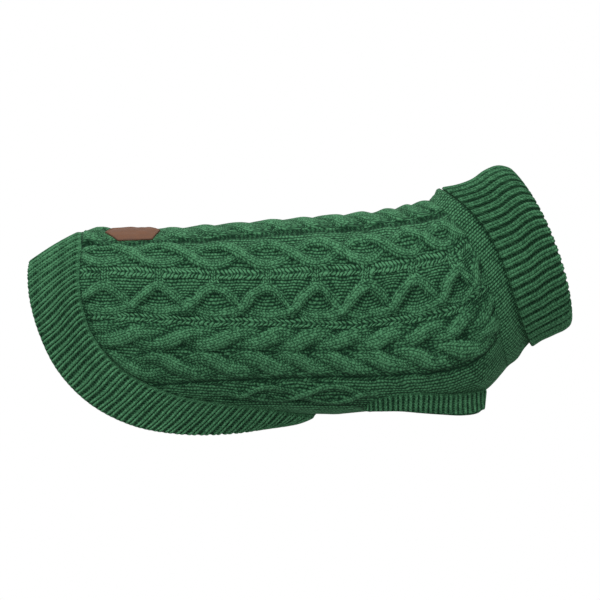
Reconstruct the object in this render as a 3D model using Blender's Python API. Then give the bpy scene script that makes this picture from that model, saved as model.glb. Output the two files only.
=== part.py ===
"""Pull-on dog sweater in cable knit, filled out with no wearer.

The sweater lies along X with its neck towards +X, its back up and its right side towards -Y. The
origin is on the inner face of the cloth in the middle of the back, where a wearer's back carries it.

Every piece of cloth is a wall with a plain inner face. Its cables and ribs are raised in the outer
face. A place on the torso has two coordinates: a station, in millimetres along the body, and a
wale, which is 0 on the spine, +1 on the belly's centre line round the left side and -1 round the
right side. A wale above 1 carries on past the belly's centre line.
"""

import math

import bmesh
import bpy
import numpy as np

COLLECTION = "dog_sweater"
MILLIMETRE = 0.001

# Sizes in millimetres.
WALL = 2.2  # the knitted cloth between its cables and ribs
SEAM_GAP = 0.3  # between two pieces that are sewn together
CABLE_HEIGHT = 3.0
RIB_HEIGHT = 1.6
GIRTH_HALF = 212.0  # round the outside from the spine to the belly's centre line
FADE = 5.0  # a cable sinks into a seam over this length

# The torso's inner face, a row for each section from the tail to the neck. The ring runs from its
# top point to its bottom point. Its sides bow forwards, and its lower corners are squarer where
# bottom_square is higher.
TORSO_COLUMNS = ("top_x", "top_z", "bottom_x", "bottom_z", "half_width", "bow", "bottom_square")
TORSO = (
    (-156, -8.5, -156, -147.0, 43, 0, 2.6),
    (-119, -6.5, -119, -150.5, 48, 0, 2.6),
    (-53, -4.0, -53, -152.5, 51, 0, 2.6),
    (0, 0.0, 0, -153.0, 53, 0, 2.6),
    (40, 3.5, 42, -153.5, 54, 0, 2.7),
    (74, 5.5, 82, -151.0, 54, 1, 3.2),
    (102, 8.5, 120, -144.0, 54, 4, 4.0),
    (120, 12.5, 157, -139.5, 52, 8, 3.6),
    (130, 16.0, 182, -132.0, 49, 12, 2.6),
    (137, 18.5, 198, -113.5, 45, 15, 2.2),
)
TOP_SQUARE = 2.15
BOW_SKEW = 0.7  # the bow is stronger above the middle by this share

# The seam between the torso and the hem band: the station where each wale ends.
HEM_SEAM_COLUMNS = ("wale", "station")
HEM_SEAM = (
    (0.0, -150),
    (0.17, -151),
    (0.36, -153),
    (0.45, -150),
    (0.555, -143),
    (0.64, -131),
    (0.72, -110),
    (0.77, -90),
    (0.815, -66),
    (0.845, -38),
    (0.875, -6),
    (0.915, 18),
    (0.955, 34),
    (1.0, 40),
)

# The free edge of the hem band, from the spine down the side to the belly's centre line.
HEM_EDGE_COLUMNS = ("x", "side", "z")
HEM_EDGE = (
    (-193, 0, -31),
    (-193.5, 24, -43),
    (-191, 41, -64),
    (-184, 49, -88),
    (-170, 52, -117),
    (-144, 51, -145),
    (-108, 46, -164),
    (-71, 38, -171),
    (-28, 25, -171.5),
    (-3, 12, -169.5),
    (11, 0, -167),
)
HEM_BULGE = 2.5
HEM_TOP_BULGE = 3.5  # more on the spine
HEM_RIBS = 76

# The lower border of the back panel and the border of the belly panel. They run 0.3 mm apart along
# the side seam, and part round the leg hole between its two tips.
REAR_TIP = 78.0
FRONT_TIP = 154.0
BORDER_COLUMNS = ("station", "back", "belly")
BORDER = (
    (-160, 0.842, 0.842),
    (30, 0.842, 0.842),
    (60, 0.849, 0.849),
    (REAR_TIP, 0.868, 0.868),
    (82, 0.838, 0.900),
    (88, 0.818, 0.922),
    (96, 0.810, 0.933),
    (106, 0.809, 0.937),
    (117, 0.816, 0.938),
    (127, 0.833, 0.938),
    (136, 0.857, 0.938),
    (144, 0.883, 0.937),
    (150, 0.904, 0.933),
    (FRONT_TIP, 0.924, 0.924),
    (167, 0.93, 0.93),
)
TAIL_STATION = -153.0
NECK_STATION = 167.0

# The cuff's free edge is a long oval in a level plane under the leg hole.
CUFF_CENTRE = (131.0, 29.0)
CUFF_HALF_LENGTH = 48.5
CUFF_HALF_WIDTH = 13.0
CUFF_SQUARE = 3.0
CUFF_EDGE_Z = -155.5
CUFF_RIBS = 26
CUFF_RIB_HEIGHT = 1.1

# The folded collar's outer layer at the tops of its ribs, from its free edge to the fold's tip.
COLLAR_COLUMNS = ("top_x", "top_z", "bottom_x", "bottom_z", "half_width", "bow", "skew")
COLLAR = (
    (143.5, 30.0, 219.0, -100.5, 50.5, 13.0, 0.9),
    (157.5, 33.0, 226.5, -95.5, 50.5, 13.0, 0.8),
    (169.5, 37.5, 233.0, -92.5, 50.5, 12.5, 0.7),
    (179.5, 44.5, 239.5, -89.5, 50.0, 12.0, 0.6),
    (190.0, 48.5, 245.0, -87.0, 49.5, 11.0, 0.5),
    (200.0, 47.0, 250.0, -83.0, 48.0, 10.0, 0.5),
    (206.0, 42.5, 252.2, -78.0, 46.0, 10.5, 0.5),
)
COLLAR_RIBS = 46
COLLAR_LAYER_GAP = 0.9  # between the collar's outer layer and the tube that it folds over

# Where the bands of the pattern run: the wale at the tail, the middle and the neck.
LANE_STATIONS = (-130, 20, 150)
LANES = {
    "spine_cable_edge": (0.140, 0.134, 0.138),
    "upper_wave": (0.229, 0.273, 0.271),
    "lower_wave": (0.415, 0.443, 0.463),
    "horseshoe_top": (0.556, 0.563, 0.590),
    "horseshoe_middle": (0.618, 0.622, 0.655),
    "horseshoe_bottom": (0.722, 0.704, 0.735),
    "bottom_wave": (0.800, 0.768, 0.790),
}
# How far each wavy strand swings from its lane and half its width, in wales.
UPPER_WAVE_SWING = 0.022
UPPER_WAVE_HALF = 0.022
LOWER_WAVE_SWING = 0.052
LOWER_WAVE_HALF = 0.026
HORSESHOE_HALF = 0.021
HORSESHOE_NOTCH = 0.45  # how near the middle a horseshoe begins, as a share of its full reach
BOTTOM_WAVE_SWING = 0.020
BOTTOM_WAVE_HALF = 0.018
BOTTOM_WAVE_END = 85.0
CALM = 32.0  # a strand's swing starts over this length from the hem seam
# Stations at which each pattern repeats.
WAVE_REPEATS = (-176, -131, -86, -41, 2, 43, 83, 117, 151, 185)
HORSESHOE_REPEATS = (-175, -135, -95, -55, -17, 14, 44, 75, 104, 129, 152, 175)
SPINE_REPEATS = (-168, -141, -114, -87, -60, -33, -6, 21, 46, 74, 99, 124, 147, 170)

# The leather label, a long hexagon a little to the right of the spine.
LABEL_STATION = -109.0
LABEL_ARC = -12.0
LABEL_HALF_LENGTH = 22.5
LABEL_HALF_FLAT = 14.0  # half of its straight upper and lower edges
LABEL_HALF_HEIGHT = 15.0
LABEL_THICKNESS = 1.4
LABEL_SEAT = 1.0  # the cable under it is pressed down to this height
LABEL_CLEARANCE = 0.45

# Mesh density.
COLUMNS_BETWEEN_LANES = (8, 3, 2, 2, 3, 2, 2, 2, 2, 2, 1, 2, 2, 2, 2, 2, 3)  # out from the spine
ROWS_TO_REAR_TIP = 36
ROWS_BY_LEG = 12
ROWS_TO_NECK = 3
COARSE = 3  # the inner face has every third point
BELLY_WALES = 6
RING_SAMPLES = 121

GREEN = (0.028, 0.095, 0.045, 1.0)
GREEN_RIB = (0.024, 0.080, 0.038, 1.0)
BROWN = (0.250, 0.095, 0.045, 1.0)


def smooth(x, knots, values):
    """A smooth curve through the knots, with no overshoot at its two ends."""
    x, knots, values = (np.asarray(a, float) for a in (x, knots, values))
    steps = np.diff(knots)
    slopes = np.diff(values) / steps
    tangents = np.concatenate([slopes[:1], slopes[-1:]])
    inner = (steps[1:] * slopes[:-1] + steps[:-1] * slopes[1:]) / (steps[1:] + steps[:-1])
    tangents = np.concatenate([tangents[:1], inner, tangents[1:]])
    i = np.clip(np.searchsorted(knots, x, side="right") - 1, 0, len(knots) - 2)
    t = (x - knots[i]) / steps[i]
    start = values[i] * (2 * t**3 - 3 * t**2 + 1) + steps[i] * tangents[i] * (t**3 - 2 * t**2 + t)
    end = values[i + 1] * (3 * t**2 - 2 * t**3) + steps[i] * tangents[i + 1] * (t**3 - t**2)
    return start + end


def ease(x, low, high):
    """0 below low, 1 above high, and a soft step between."""
    t = np.clip((np.asarray(x, float) - low) / (high - low), 0, 1)
    return t * t * (3 - 2 * t)


def column(table, names, name):
    return np.array([row[names.index(name)] for row in table], float)


TORSO_STATIONS = (
    column(TORSO, TORSO_COLUMNS, "top_x") + column(TORSO, TORSO_COLUMNS, "bottom_x")
) / 2


def unit(vectors):
    return vectors / np.maximum(np.linalg.norm(vectors, axis=-1, keepdims=True), 1e-12)


def rings(sizes, angles):
    """Half rings on the +Y side, from the top (angle 0) to the bottom (angle pi)."""
    top_x, top_z, bottom_x, bottom_z, half_width, bow, bottom_square, skew = sizes
    square = TOP_SQUARE + (bottom_square - TOP_SQUARE) * (1 - np.cos(angles)) / 2
    up = np.sign(np.cos(angles)) * np.abs(np.cos(angles)) ** (2 / square)
    out = np.abs(np.sin(angles)) ** (2 / square)
    x = (top_x + bottom_x) / 2 + (top_x - bottom_x) / 2 * up + bow * out**2 * (1 + skew * up)
    z = (top_z + bottom_z) / 2 + (top_z - bottom_z) / 2 * up
    return np.stack([x, half_width * out, z], -1)


def even_points(curves, shares):
    """The point of each curve at each share of its length."""
    lengths = np.linalg.norm(np.diff(curves, axis=1), axis=2)
    along = np.concatenate([np.zeros((len(curves), 1)), np.cumsum(lengths, axis=1)], 1)
    wanted = shares * along[:, -1]
    i = np.clip((along < wanted[:, None]).sum(1) - 1, 0, along.shape[1] - 2)
    row = np.arange(len(curves))
    span = np.maximum(along[row, i + 1] - along[row, i], 1e-9)
    t = ((wanted - along[row, i]) / span)[:, None]
    return curves[row, i] * (1 - t) + curves[row, i + 1] * t


def torso_inside(station, wale):
    """Points of the torso's inner face."""
    station = np.asarray(station, float)
    wale = np.where(np.asarray(wale, float) > 1, np.asarray(wale, float) - 2, wale)
    sizes = [
        smooth(station, TORSO_STATIONS, column(TORSO, TORSO_COLUMNS, name))[:, None]
        for name in TORSO_COLUMNS
    ]
    angles = np.linspace(0, math.pi, RING_SAMPLES)[None, :]
    points = even_points(rings(sizes + [BOW_SKEW], angles), np.abs(wale))
    points[:, 1] *= np.where(wale < 0, -1, 1)
    return points


def torso_normals(station, wale):
    step_station, step_wale = 1.5, 0.008
    along = torso_inside(station + step_station, wale) - torso_inside(station - step_station, wale)
    ahead = np.where(wale + step_wale > 2, wale + step_wale - 2, wale + step_wale)
    across = torso_inside(station, ahead) - torso_inside(station, wale - step_wale)
    return unit(np.cross(along, across))


def torso(station, wale, out):
    """Points that lie a distance out from the torso's inner face."""
    station, wale = np.broadcast_arrays(np.asarray(station, float), np.asarray(wale, float))
    shift = np.broadcast_to(np.asarray(out, float), station.shape)[:, None]
    return torso_inside(station, wale) + shift * torso_normals(station, wale)


def hem_station(wale):
    """The station of the hem band's seam on a wale."""
    side = np.abs(np.where(np.asarray(wale) > 1, np.asarray(wale) - 2, wale))
    wales = column(HEM_SEAM, HEM_SEAM_COLUMNS, "wale")
    return smooth(side, wales, column(HEM_SEAM, HEM_SEAM_COLUMNS, "station"))


def border(station, which):
    """The wale of the back or the belly panel's border, without the gap in the seam."""
    stations = column(BORDER, BORDER_COLUMNS, "station")
    return np.interp(station, stations, column(BORDER, BORDER_COLUMNS, which))


def lane(name, station):
    return smooth(np.clip(station, *LANE_STATIONS[::2]), LANE_STATIONS, LANES[name])


def repeats(station, table):
    """How many repeats of a pattern lie behind a station."""
    return np.interp(station, table, np.arange(len(table)))


def ridge(offset, half_width):
    """A round ridge of height 1."""
    return np.sqrt(np.clip(1 - (offset / half_width) ** 2, 0, 1))


def rope(wale, count, inner, outer):
    """A two-strand twist between two wales. The strand that shows runs from inner to outer."""
    middle, swing = (inner + outer) / 2, (outer - inner) / 4
    half = np.abs(outer - inner) * 0.27
    height = np.zeros_like(wale)
    for turn in (0, 1):
        angle = math.pi * (count + turn)
        lift = 0.62 + 0.38 * np.sin(angle)
        height = np.maximum(height, lift * ridge(wale - (middle - swing * np.cos(angle)), half))
    return height


def waves(station):
    """The middles of the two wavy strands, which swing towards each other and apart."""
    swing = np.cos(2 * math.pi * repeats(station, WAVE_REPEATS))
    upper = lane("upper_wave", station) + UPPER_WAVE_SWING * swing
    return upper, lane("lower_wave", station) - LOWER_WAVE_SWING * swing


def calm(station, wale):
    """0 at the hem seam and 1 well ahead of it."""
    return ease(station - hem_station(wale), 0, CALM)


def horseshoe(station, edge):
    """The middle of one arm of the horseshoes, which opens towards the neck in each repeat."""
    middle = lane("horseshoe_middle", station)
    phase = repeats(station, HORSESHOE_REPEATS) % 1
    opening = ease(phase, 0, 0.35) * (1 - ease(phase, 0.85, 1.0))
    reach = HORSESHOE_NOTCH + (1 - HORSESHOE_NOTCH) * opening
    reach = 1 - (1 - reach) * calm(station, middle)
    inset = HORSESHOE_HALF if edge == "horseshoe_top" else -HORSESHOE_HALF
    return middle + (lane(edge, station) + inset - middle) * reach


def bottom_wave(station):
    low = lane("bottom_wave", station)
    stay = 1 - ease(station, BOTTOM_WAVE_END - 30, BOTTOM_WAVE_END)
    swing = BOTTOM_WAVE_SWING * stay * calm(station, low)
    return low + swing * np.cos(2 * math.pi * repeats(station, HORSESHOE_REPEATS))


def cables(station, wale):
    """The height of the cables over the cloth's plain face."""
    side = np.abs(wale)
    upper, lower = waves(station)
    stay = 1 - ease(station, BOTTOM_WAVE_END - 10, BOTTOM_WAVE_END + 10)
    strands = (
        (upper, UPPER_WAVE_HALF, 1.0),
        (lower, LOWER_WAVE_HALF, 1.0),
        (horseshoe(station, "horseshoe_top"), HORSESHOE_HALF, 1.0),
        (horseshoe(station, "horseshoe_bottom"), HORSESHOE_HALF, 1.0),
        (bottom_wave(station), BOTTOM_WAVE_HALF, 0.8 * stay),
    )
    spine_edge = lane("spine_cable_edge", station)
    height = rope(side, repeats(station, SPINE_REPEATS), 0 * side, spine_edge)
    for middle, half_width, share in strands:
        height = np.maximum(height, share * ridge(side - middle, half_width))
    return CABLE_HEIGHT * height


def label_cover(station, wale):
    """1 under the label, and 0 well away from it."""
    arc = wale * GIRTH_HALF * label_girth_share()
    along = np.abs(station - LABEL_STATION) - LABEL_HALF_LENGTH
    across = np.abs(arc - LABEL_ARC) - LABEL_HALF_HEIGHT
    return 1 - ease(np.maximum(along, across), 2.5, 8.0)


def label_girth_share():
    """The girth at the label as a share of the nominal girth."""
    ring = torso(np.full(60, LABEL_STATION), np.linspace(0, 1, 60), WALL)
    return np.linalg.norm(np.diff(ring, axis=0), axis=1).sum() / GIRTH_HALF


def back_relief(station, wale):
    """The height of the back panel's outer face over its plain wall."""
    slope = (hem_station(np.abs(wale) + 0.002) - hem_station(np.abs(wale) - 0.002)) / 0.004
    from_hem = (station - hem_station(wale)) / np.sqrt(1 + (slope / GIRTH_HALF) ** 2)
    from_side = (border(station, "back") - np.abs(wale)) * GIRTH_HALF
    from_edge = np.minimum(np.minimum(from_hem, from_side), NECK_STATION - station)
    cover = label_cover(station, wale)
    height = cables(station, wale) * ease(from_edge, 0, FADE)
    return height * (1 - cover) + LABEL_SEAT * cover


class Builder:
    """Collects points and triangles for one closed solid."""

    def __init__(self):
        self.points = []
        self.triangles = []

    def add(self, points):
        """Adds a row of points and returns their numbers."""
        first = len(self.points)
        self.points.extend(np.asarray(points) * MILLIMETRE)
        return list(range(first, len(self.points)))

    def zip(self, left, right, left_at, right_at):
        """Joins two rows of points with triangles, in step with their places along the row."""
        i = j = 0
        while i < len(left) - 1 or j < len(right) - 1:
            left_ends, right_ends = i == len(left) - 1, j == len(right) - 1
            step_left = right_ends or (
                not left_ends and left_at[i] + left_at[i + 1] <= right_at[j] + right_at[j + 1]
            )
            if step_left:
                self.triangles.append((left[i], left[i + 1], right[j]))
                i += 1
            else:
                self.triangles.append((left[i], right[j + 1], right[j]))
                j += 1

    def loop(self, left, right, left_at, right_at):
        """Joins two closed rows, whose places run from 0 towards 1."""
        self.zip(
            left + left[:1], right + right[:1], [*left_at, left_at[0] + 1], [*right_at, right_at[0] + 1]
        )

    def finish(self, name, material, sharp_degrees):
        mesh = bpy.data.meshes.new(name)
        mesh.from_pydata([tuple(p) for p in self.points], [], self.triangles)
        body = bmesh.new()
        body.from_mesh(mesh)
        bmesh.ops.recalc_face_normals(body, faces=body.faces)
        if body.calc_volume(signed=True) < 0:
            bmesh.ops.reverse_faces(body, faces=body.faces)
        body.to_mesh(mesh)
        body.free()
        mesh.materials.append(material)
        mesh.shade_smooth()
        mesh.set_sharp_from_angle(angle=math.radians(sharp_degrees))
        piece = bpy.data.objects.new(name, mesh)
        bpy.data.collections[COLLECTION].objects.link(piece)
        return piece


def all_rows():
    """The stations of the mesh rows. Both tips of the leg hole are rows of the inner face too."""
    parts = (
        np.linspace(TAIL_STATION, REAR_TIP, ROWS_TO_REAR_TIP + 1),
        np.linspace(REAR_TIP, FRONT_TIP, ROWS_BY_LEG + 1)[1:],
        np.linspace(FRONT_TIP, NECK_STATION, ROWS_TO_NECK + 1)[1:],
    )
    return np.concatenate(parts)


def columns_of(wales_at, rows, every):
    """The columns of the mesh from the hem seam to the neck: the stations and wales of each."""
    scan = np.arange(TAIL_STATION - 2, NECK_STATION, 0.25)
    scanned = wales_at(scan)[::every]
    at_rows = wales_at(rows)[::every]
    least = 0.35 * (rows[1] - rows[0])
    columns = []
    for wales, row_wales in zip(scanned, at_rows):
        wale = wales[np.flatnonzero(scan < hem_station(wales))[-1] + 1]
        start = hem_station(wale)
        ahead = rows > start + least
        columns.append((np.append(start, rows[ahead]), np.append(wale, row_wales[ahead])))
    return columns


def panel(build, columns, relief, rows_are_coarse):
    """Adds one face of a panel from its columns. Returns its four borders."""
    made = []
    tail = []
    for number, (stations, wales) in enumerate(columns):
        if number:
            before = columns[number - 1]
            lead = between_on_hem(before[0][0], before[1][0], stations[0], wales[0], rows_are_coarse)
        else:
            lead = (np.zeros(0), np.zeros(0))
        both = [np.concatenate([lead[0], stations]), np.concatenate([lead[1], wales])]
        rises = not number or columns[number - 1][0][0] <= stations[0]
        made.append({"lead": lead, "stations": stations, "wales": wales, "rises": rises})
        heights = relief(both[0], both[1])
        numbers = build.add(torso(both[0], both[1], heights))
        made[-1]["lead_numbers"] = numbers[: len(lead[0])]
        made[-1]["numbers"] = numbers[len(lead[0]) :]
        tail += [*zip(numbers[: len(lead[0])], lead[1], lead[0])]
        tail.append((made[-1]["numbers"][0], wales[0], stations[0]))
    for left, right in zip(made, made[1:]):
        left_numbers, left_at = left["numbers"], list(left["stations"])
        right_numbers, right_at = right["numbers"], list(right["stations"])
        if right["rises"]:
            right_numbers = right["lead_numbers"] + right_numbers
            right_at = list(right["lead"][0]) + right_at
        else:
            left_numbers = right["lead_numbers"][::-1] + left_numbers
            left_at = list(right["lead"][0][::-1]) + left_at
        build.zip(left_numbers, right_numbers, left_at, right_at)
    return {
        "tail": tail,
        "neck": [(c["numbers"][-1], c["wales"][-1], c["stations"][-1]) for c in made],
        "first": [*zip(made[0]["numbers"], made[0]["wales"], made[0]["stations"])],
        "last": [*zip(made[-1]["numbers"], made[-1]["wales"], made[-1]["stations"])],
    }


def between_on_hem(station_a, wale_a, station_b, wale_b, coarse):
    """Points of the hem seam between two columns, where the seam runs nearly along the columns."""
    spacing = 24.0 if coarse else 8.0
    count = int(abs(station_b - station_a) / spacing)
    wales = np.linspace(wale_a, wale_b, count + 2)[1:-1]
    return (hem_station(wales), wales) if count else (np.zeros(0), np.zeros(0))


def rim(build, outer, inner, along):
    """Closes the wall along one border."""
    build.zip(
        [p[0] for p in outer], [p[0] for p in inner], [p[along] for p in outer], [p[along] for p in inner]
    )


def lanes_at(station):
    """The wales from the spine to the back panel's border that columns of the mesh follow."""
    upper, lower = waves(station)
    strands = (
        (upper, UPPER_WAVE_HALF),
        (lower, LOWER_WAVE_HALF),
        (horseshoe(station, "horseshoe_top"), HORSESHOE_HALF),
        (horseshoe(station, "horseshoe_bottom"), HORSESHOE_HALF),
        (bottom_wave(station), BOTTOM_WAVE_HALF),
    )
    wales = [0 * station, lane("spine_cable_edge", station)]
    for middle, half_width in strands:
        wales += [middle - half_width, middle, middle + half_width]
    return np.array(wales + [border(station, "back") - SEAM_GAP / 2 / GIRTH_HALF])


def back_wales(station):
    """The wales of the back panel's columns at each station, a row for each column."""
    lanes = lanes_at(station)
    ends = np.concatenate([[0], np.cumsum(COLUMNS_BETWEEN_LANES)])
    numbers = np.arange(ends[-1] + 1)
    before = np.clip(np.searchsorted(ends, numbers, side="right") - 1, 0, len(ends) - 2)
    share = ((numbers - ends[before]) / (ends[before + 1] - ends[before]))[:, None]
    left = lanes[before] * (1 - share) + lanes[before + 1] * share
    return np.vstack([-left[:0:-1], left])


def belly_wales(station):
    """The wales of the belly panel's columns at each station, a row for each column."""
    half = 1 - border(station, "belly") - SEAM_GAP / 2 / GIRTH_HALF
    return 1 + half * np.linspace(-1, 1, BELLY_WALES + 1)[:, None]


def walled_panel(name, wales_at, relief, material):
    """A panel of the torso. Returns the places of its borders, outer face and inner face."""
    build = Builder()
    rows = all_rows()
    fine = columns_of(wales_at, rows, 1)
    coarse = columns_of(wales_at, rows[::COARSE], COARSE)
    outer = panel(build, fine, lambda s, w: WALL + relief(s, w), False)
    inner = panel(build, coarse, lambda s, w: 0 * s, True)
    rim(build, outer["tail"], inner["tail"], 1)
    rim(build, outer["neck"], inner["neck"], 1)
    rim(build, outer["first"], inner["first"], 2)
    rim(build, outer["last"], inner["last"], 2)
    build.finish(name, material, 50)
    return outer, inner


def make_material(name, colour, roughness):
    material = bpy.data.materials.new(name)
    material.use_nodes = True
    shader = material.node_tree.nodes["Principled BSDF"]
    shader.inputs["Base Color"].default_value = colour
    shader.inputs["Roughness"].default_value = roughness
    shader.inputs["Metallic"].default_value = 0.0
    return material


def no_relief(station, wale):
    return 0 * station


def clear_scene():
    for piece in list(bpy.data.objects):
        bpy.data.objects.remove(piece)
    group = bpy.data.collections.new(COLLECTION)
    bpy.context.scene.collection.children.link(group)


def seam_loop(back, belly, side):
    """The closed run of a seam round the torso, from the spine round the left side."""
    places = [p[1:] for p in back[side]] + [p[1:] for p in belly[side]]
    wales = np.array([w for w, _ in places])
    start = int(np.argmin(np.abs(wales)))
    places = places[start:] + places[:start]
    return np.array([w for w, _ in places]), np.array([s for _, s in places])


def seam_points(wales, stations, out, forwards):
    """The points of a torso seam, moved off the panels by the gap."""
    points = torso(stations, wales, out)
    run = np.roll(points, -1, axis=0) - np.roll(points, 1, axis=0)
    away = unit(np.cross(run, torso_normals(stations, wales)))
    return points + SEAM_GAP * away * (1 if forwards else -1)


def loop_shares(points):
    """How far along its closed loop each point lies, from 0 towards 1."""
    steps = np.linalg.norm(np.roll(points, -1, axis=0) - points, axis=1)
    return np.concatenate([[0], np.cumsum(steps)[:-1]]) / steps.sum()


def on_loop(points, shares):
    """Points at shares of a closed loop's length."""
    at = np.append(loop_shares(points), 1.0)
    closed = np.vstack([points, points[:1]])
    return np.stack([np.interp(shares % 1, at, closed[:, k]) for k in range(3)], 1)


def rib_columns(ribs):
    """The places of the mesh columns round a ribbed ring, and 1 on a rib's top or 0 between ribs."""
    offsets = np.array([-0.24, 0.24, 0.5])
    places = (np.arange(ribs)[:, None] + offsets[None, :]).ravel() / ribs
    return places, np.tile([1.0, 1.0, 0.0], ribs)


def ring_normals(row, before, after, outside):
    """Normals of a closed row of points that lies between two others."""
    around = np.roll(row, -1, axis=0) - np.roll(row, 1, axis=0)
    normals = unit(np.cross(around, after - before))
    flip = np.sign(np.sum(normals * (row - outside), axis=1).sum())
    return normals * flip


def hem_row(shares, across, seam):
    """A closed row of the hem band's outer face, without ribs."""
    names = HEM_EDGE_COLUMNS
    x, side, z = (column(HEM_EDGE, names, name) for name in names)
    half = np.stack([x, side, z], 1)
    run = np.concatenate([[0], np.cumsum(np.linalg.norm(np.diff(half, axis=0), axis=1))])
    fine = np.linspace(0, run[-1], 160)
    left = np.stack([smooth(fine, run, half[:, k]) for k in range(3)], 1)
    edge = np.vstack([left, left[-2:0:-1] * (1, -1, 1)])
    start, end = on_loop(seam, shares), on_loop(edge, shares)
    run = np.roll(start, -1, axis=0) - np.roll(start, 1, axis=0)
    outwards = unit(np.cross(run, start - end))
    bulge = HEM_BULGE + HEM_TOP_BULGE * np.maximum(np.cos(2 * math.pi * shares), 0) ** 3
    return start + (end - start) * across + outwards * (4 * across * (1 - across) * bulge)[:, None]


def fine_seam(forwards):
    """A torso seam as a fine closed loop, from the spine round the left side."""
    wales = np.linspace(0, 2, 321)[:-1]
    stations = np.full(len(wales), NECK_STATION) if forwards else hem_station(wales)
    return seam_points(wales, stations, WALL, forwards)


def hem_band(back, belly, material):
    build = Builder()
    seam = fine_seam(False)

    def raised(places, across, out):
        row = hem_row(places, across, seam)
        before, after = (hem_row(places, across + step, seam) for step in (-0.02, 0.02))
        normals = ring_normals(row, before, after, seam.mean(axis=0))
        return row + normals * np.reshape(out, (-1, 1))

    shares, tops = rib_columns(HEM_RIBS)
    wales, stations = seam_loop(back[0], belly[0], "tail")
    points = seam_points(wales, stations, WALL, False)
    outer = [(build.add(points), loop_shares(points))]
    for across in (0.08, 0.38, 0.70, 1.0):
        outer.append((build.add(raised(shares, across, RIB_HEIGHT * tops)), shares))
    inner_shares = np.arange(HEM_RIBS) / HEM_RIBS
    wales, stations = seam_loop(back[1], belly[1], "tail")
    points = seam_points(wales, stations, 0.0, False)
    inner = [(build.add(points), loop_shares(points))]
    for across in (0.5, 1.0):
        inner.append((build.add(raised(inner_shares, across, -WALL)), inner_shares))
    join_rows(build, outer)
    join_rows(build, inner)
    build.loop(outer[0][0], inner[0][0], outer[0][1], inner[0][1])
    build.loop(outer[-1][0], inner[-1][0], outer[-1][1], inner[-1][1])
    build.finish("hem_band", material, 40)


def join_rows(build, rows):
    for (left, left_at), (right, right_at) in zip(rows, rows[1:]):
        build.loop(left, right, left_at, right_at)


def collar_ring(place, shares, inwards):
    """A closed ring of the collar. Place counts the rows of its table, and may lie between them."""
    rows = np.arange(len(COLLAR))
    top_x, top_z, bottom_x, bottom_z, half_width, bow, skew = (
        smooth(place, rows, column(COLLAR, COLLAR_COLUMNS, name)) for name in COLLAR_COLUMNS
    )
    angles = np.linspace(0, math.pi, RING_SAMPLES)[None, :]
    left = rings([top_x, top_z, bottom_x, bottom_z, half_width, bow, TOP_SQUARE, skew], angles)[0]
    loop = np.vstack([left, left[-2:0:-1] * (1, -1, 1)])
    row = on_loop(loop, shares)
    chord = np.array([top_x - bottom_x, 0, top_z - bottom_z])
    axis = unit(np.cross(chord, (0, -1, 0)))
    ahead, behind = on_loop(loop, shares + 0.004), on_loop(loop, shares - 0.004)
    inside = unit(np.cross(ahead - behind, axis))
    inside *= np.sign(np.sum(inside * (row.mean(axis=0) - row), axis=1).sum())
    return row + inside * np.reshape(inwards, (-1, 1))


def collar(back, belly, material):
    """The neck tube and the layer folded over it, one piece with a U-shaped wall."""
    build = Builder()
    seam = fine_seam(True)
    shares, tops = rib_columns(COLLAR_RIBS)
    plain_shares = np.arange(COLLAR_RIBS) / COLLAR_RIBS
    ground = RIB_HEIGHT
    layer_inside = ground + WALL
    tube_outside = layer_inside + COLLAR_LAYER_GAP
    tube_inside = tube_outside + WALL

    def tube(places, blend, out):
        start = on_loop(seam, places)
        end = collar_ring(0.0, places, tube_outside)
        row = start + (end - start) * blend
        normals = ring_normals(row, start, end, row.mean(axis=0))
        return row + normals * np.reshape(out, (-1, 1))

    def ribbed(place, least, share):
        return collar_ring(place, shares, least + ground * (1 - tops * share))

    def plain(place, inwards):
        return collar_ring(place, plain_shares, inwards)

    wales, stations = seam_loop(back[0], belly[0], "neck")
    seam_outer = seam_points(wales, stations, WALL, True)
    wales, stations = seam_loop(back[1], belly[1], "neck")
    seam_inner = seam_points(wales, stations, 0.0, True)
    rows = [
        (seam_outer, loop_shares(seam_outer)),
        (tube(shares, 0.12, 0.8 * RIB_HEIGHT * tops), shares),
        (tube(shares, 0.68, 0.4 * RIB_HEIGHT * tops), shares),
        (plain(0.2, tube_outside), plain_shares),
        (plain(2.4, tube_outside), plain_shares),
        (plain(4.7, (layer_inside + tube_outside) / 2), plain_shares),
        (plain(2.4, layer_inside), plain_shares),
        (plain(0.0, layer_inside), plain_shares),
        (ribbed(0.0, 0, 1), shares),
        (ribbed(1.7, 0, 1), shares),
        (ribbed(3.2, 0, 1), shares),
        (ribbed(4.2, 0, 1), shares),
        (ribbed(5.2, 0, 1), shares),
        (ribbed(6.0, 1.0, 0.7), shares),
        (plain(6.0, tube_inside - 1.6), plain_shares),
        (plain(5.0, tube_inside), plain_shares),
        (plain(2.4, tube_inside), plain_shares),
        (tube(plain_shares, 0.7, -WALL), plain_shares),
        (seam_inner, loop_shares(seam_inner)),
    ]
    made = [(build.add(points), at) for points, at in rows]
    join_rows(build, made + made[:1])
    build.finish("collar", material, 40)


def leg_hole(rows, out):
    """The border of the right leg hole, from its rear tip along the outer side, moved into the hole."""
    stations = rows[(rows >= REAR_TIP) & (rows <= FRONT_TIP)]
    outer_side = [(s, -border(s, "back")) for s in stations]
    inner_side = [(s, -border(s, "belly")) for s in stations[-2:0:-1]]
    places = np.array(outer_side + inner_side)
    points = torso(places[:, 0], places[:, 1], out)
    run = np.roll(points, -1, axis=0) - np.roll(points, 1, axis=0)
    into = unit(np.cross(torso_normals(places[:, 0], places[:, 1]), run))
    into *= np.sign(np.sum(into * (points.mean(axis=0) - points), axis=1).sum())
    gaps = np.full(len(points), 0.45)
    gaps[[0, len(outer_side) - 1]] = 1.2
    return points + into * gaps[:, None]


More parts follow.
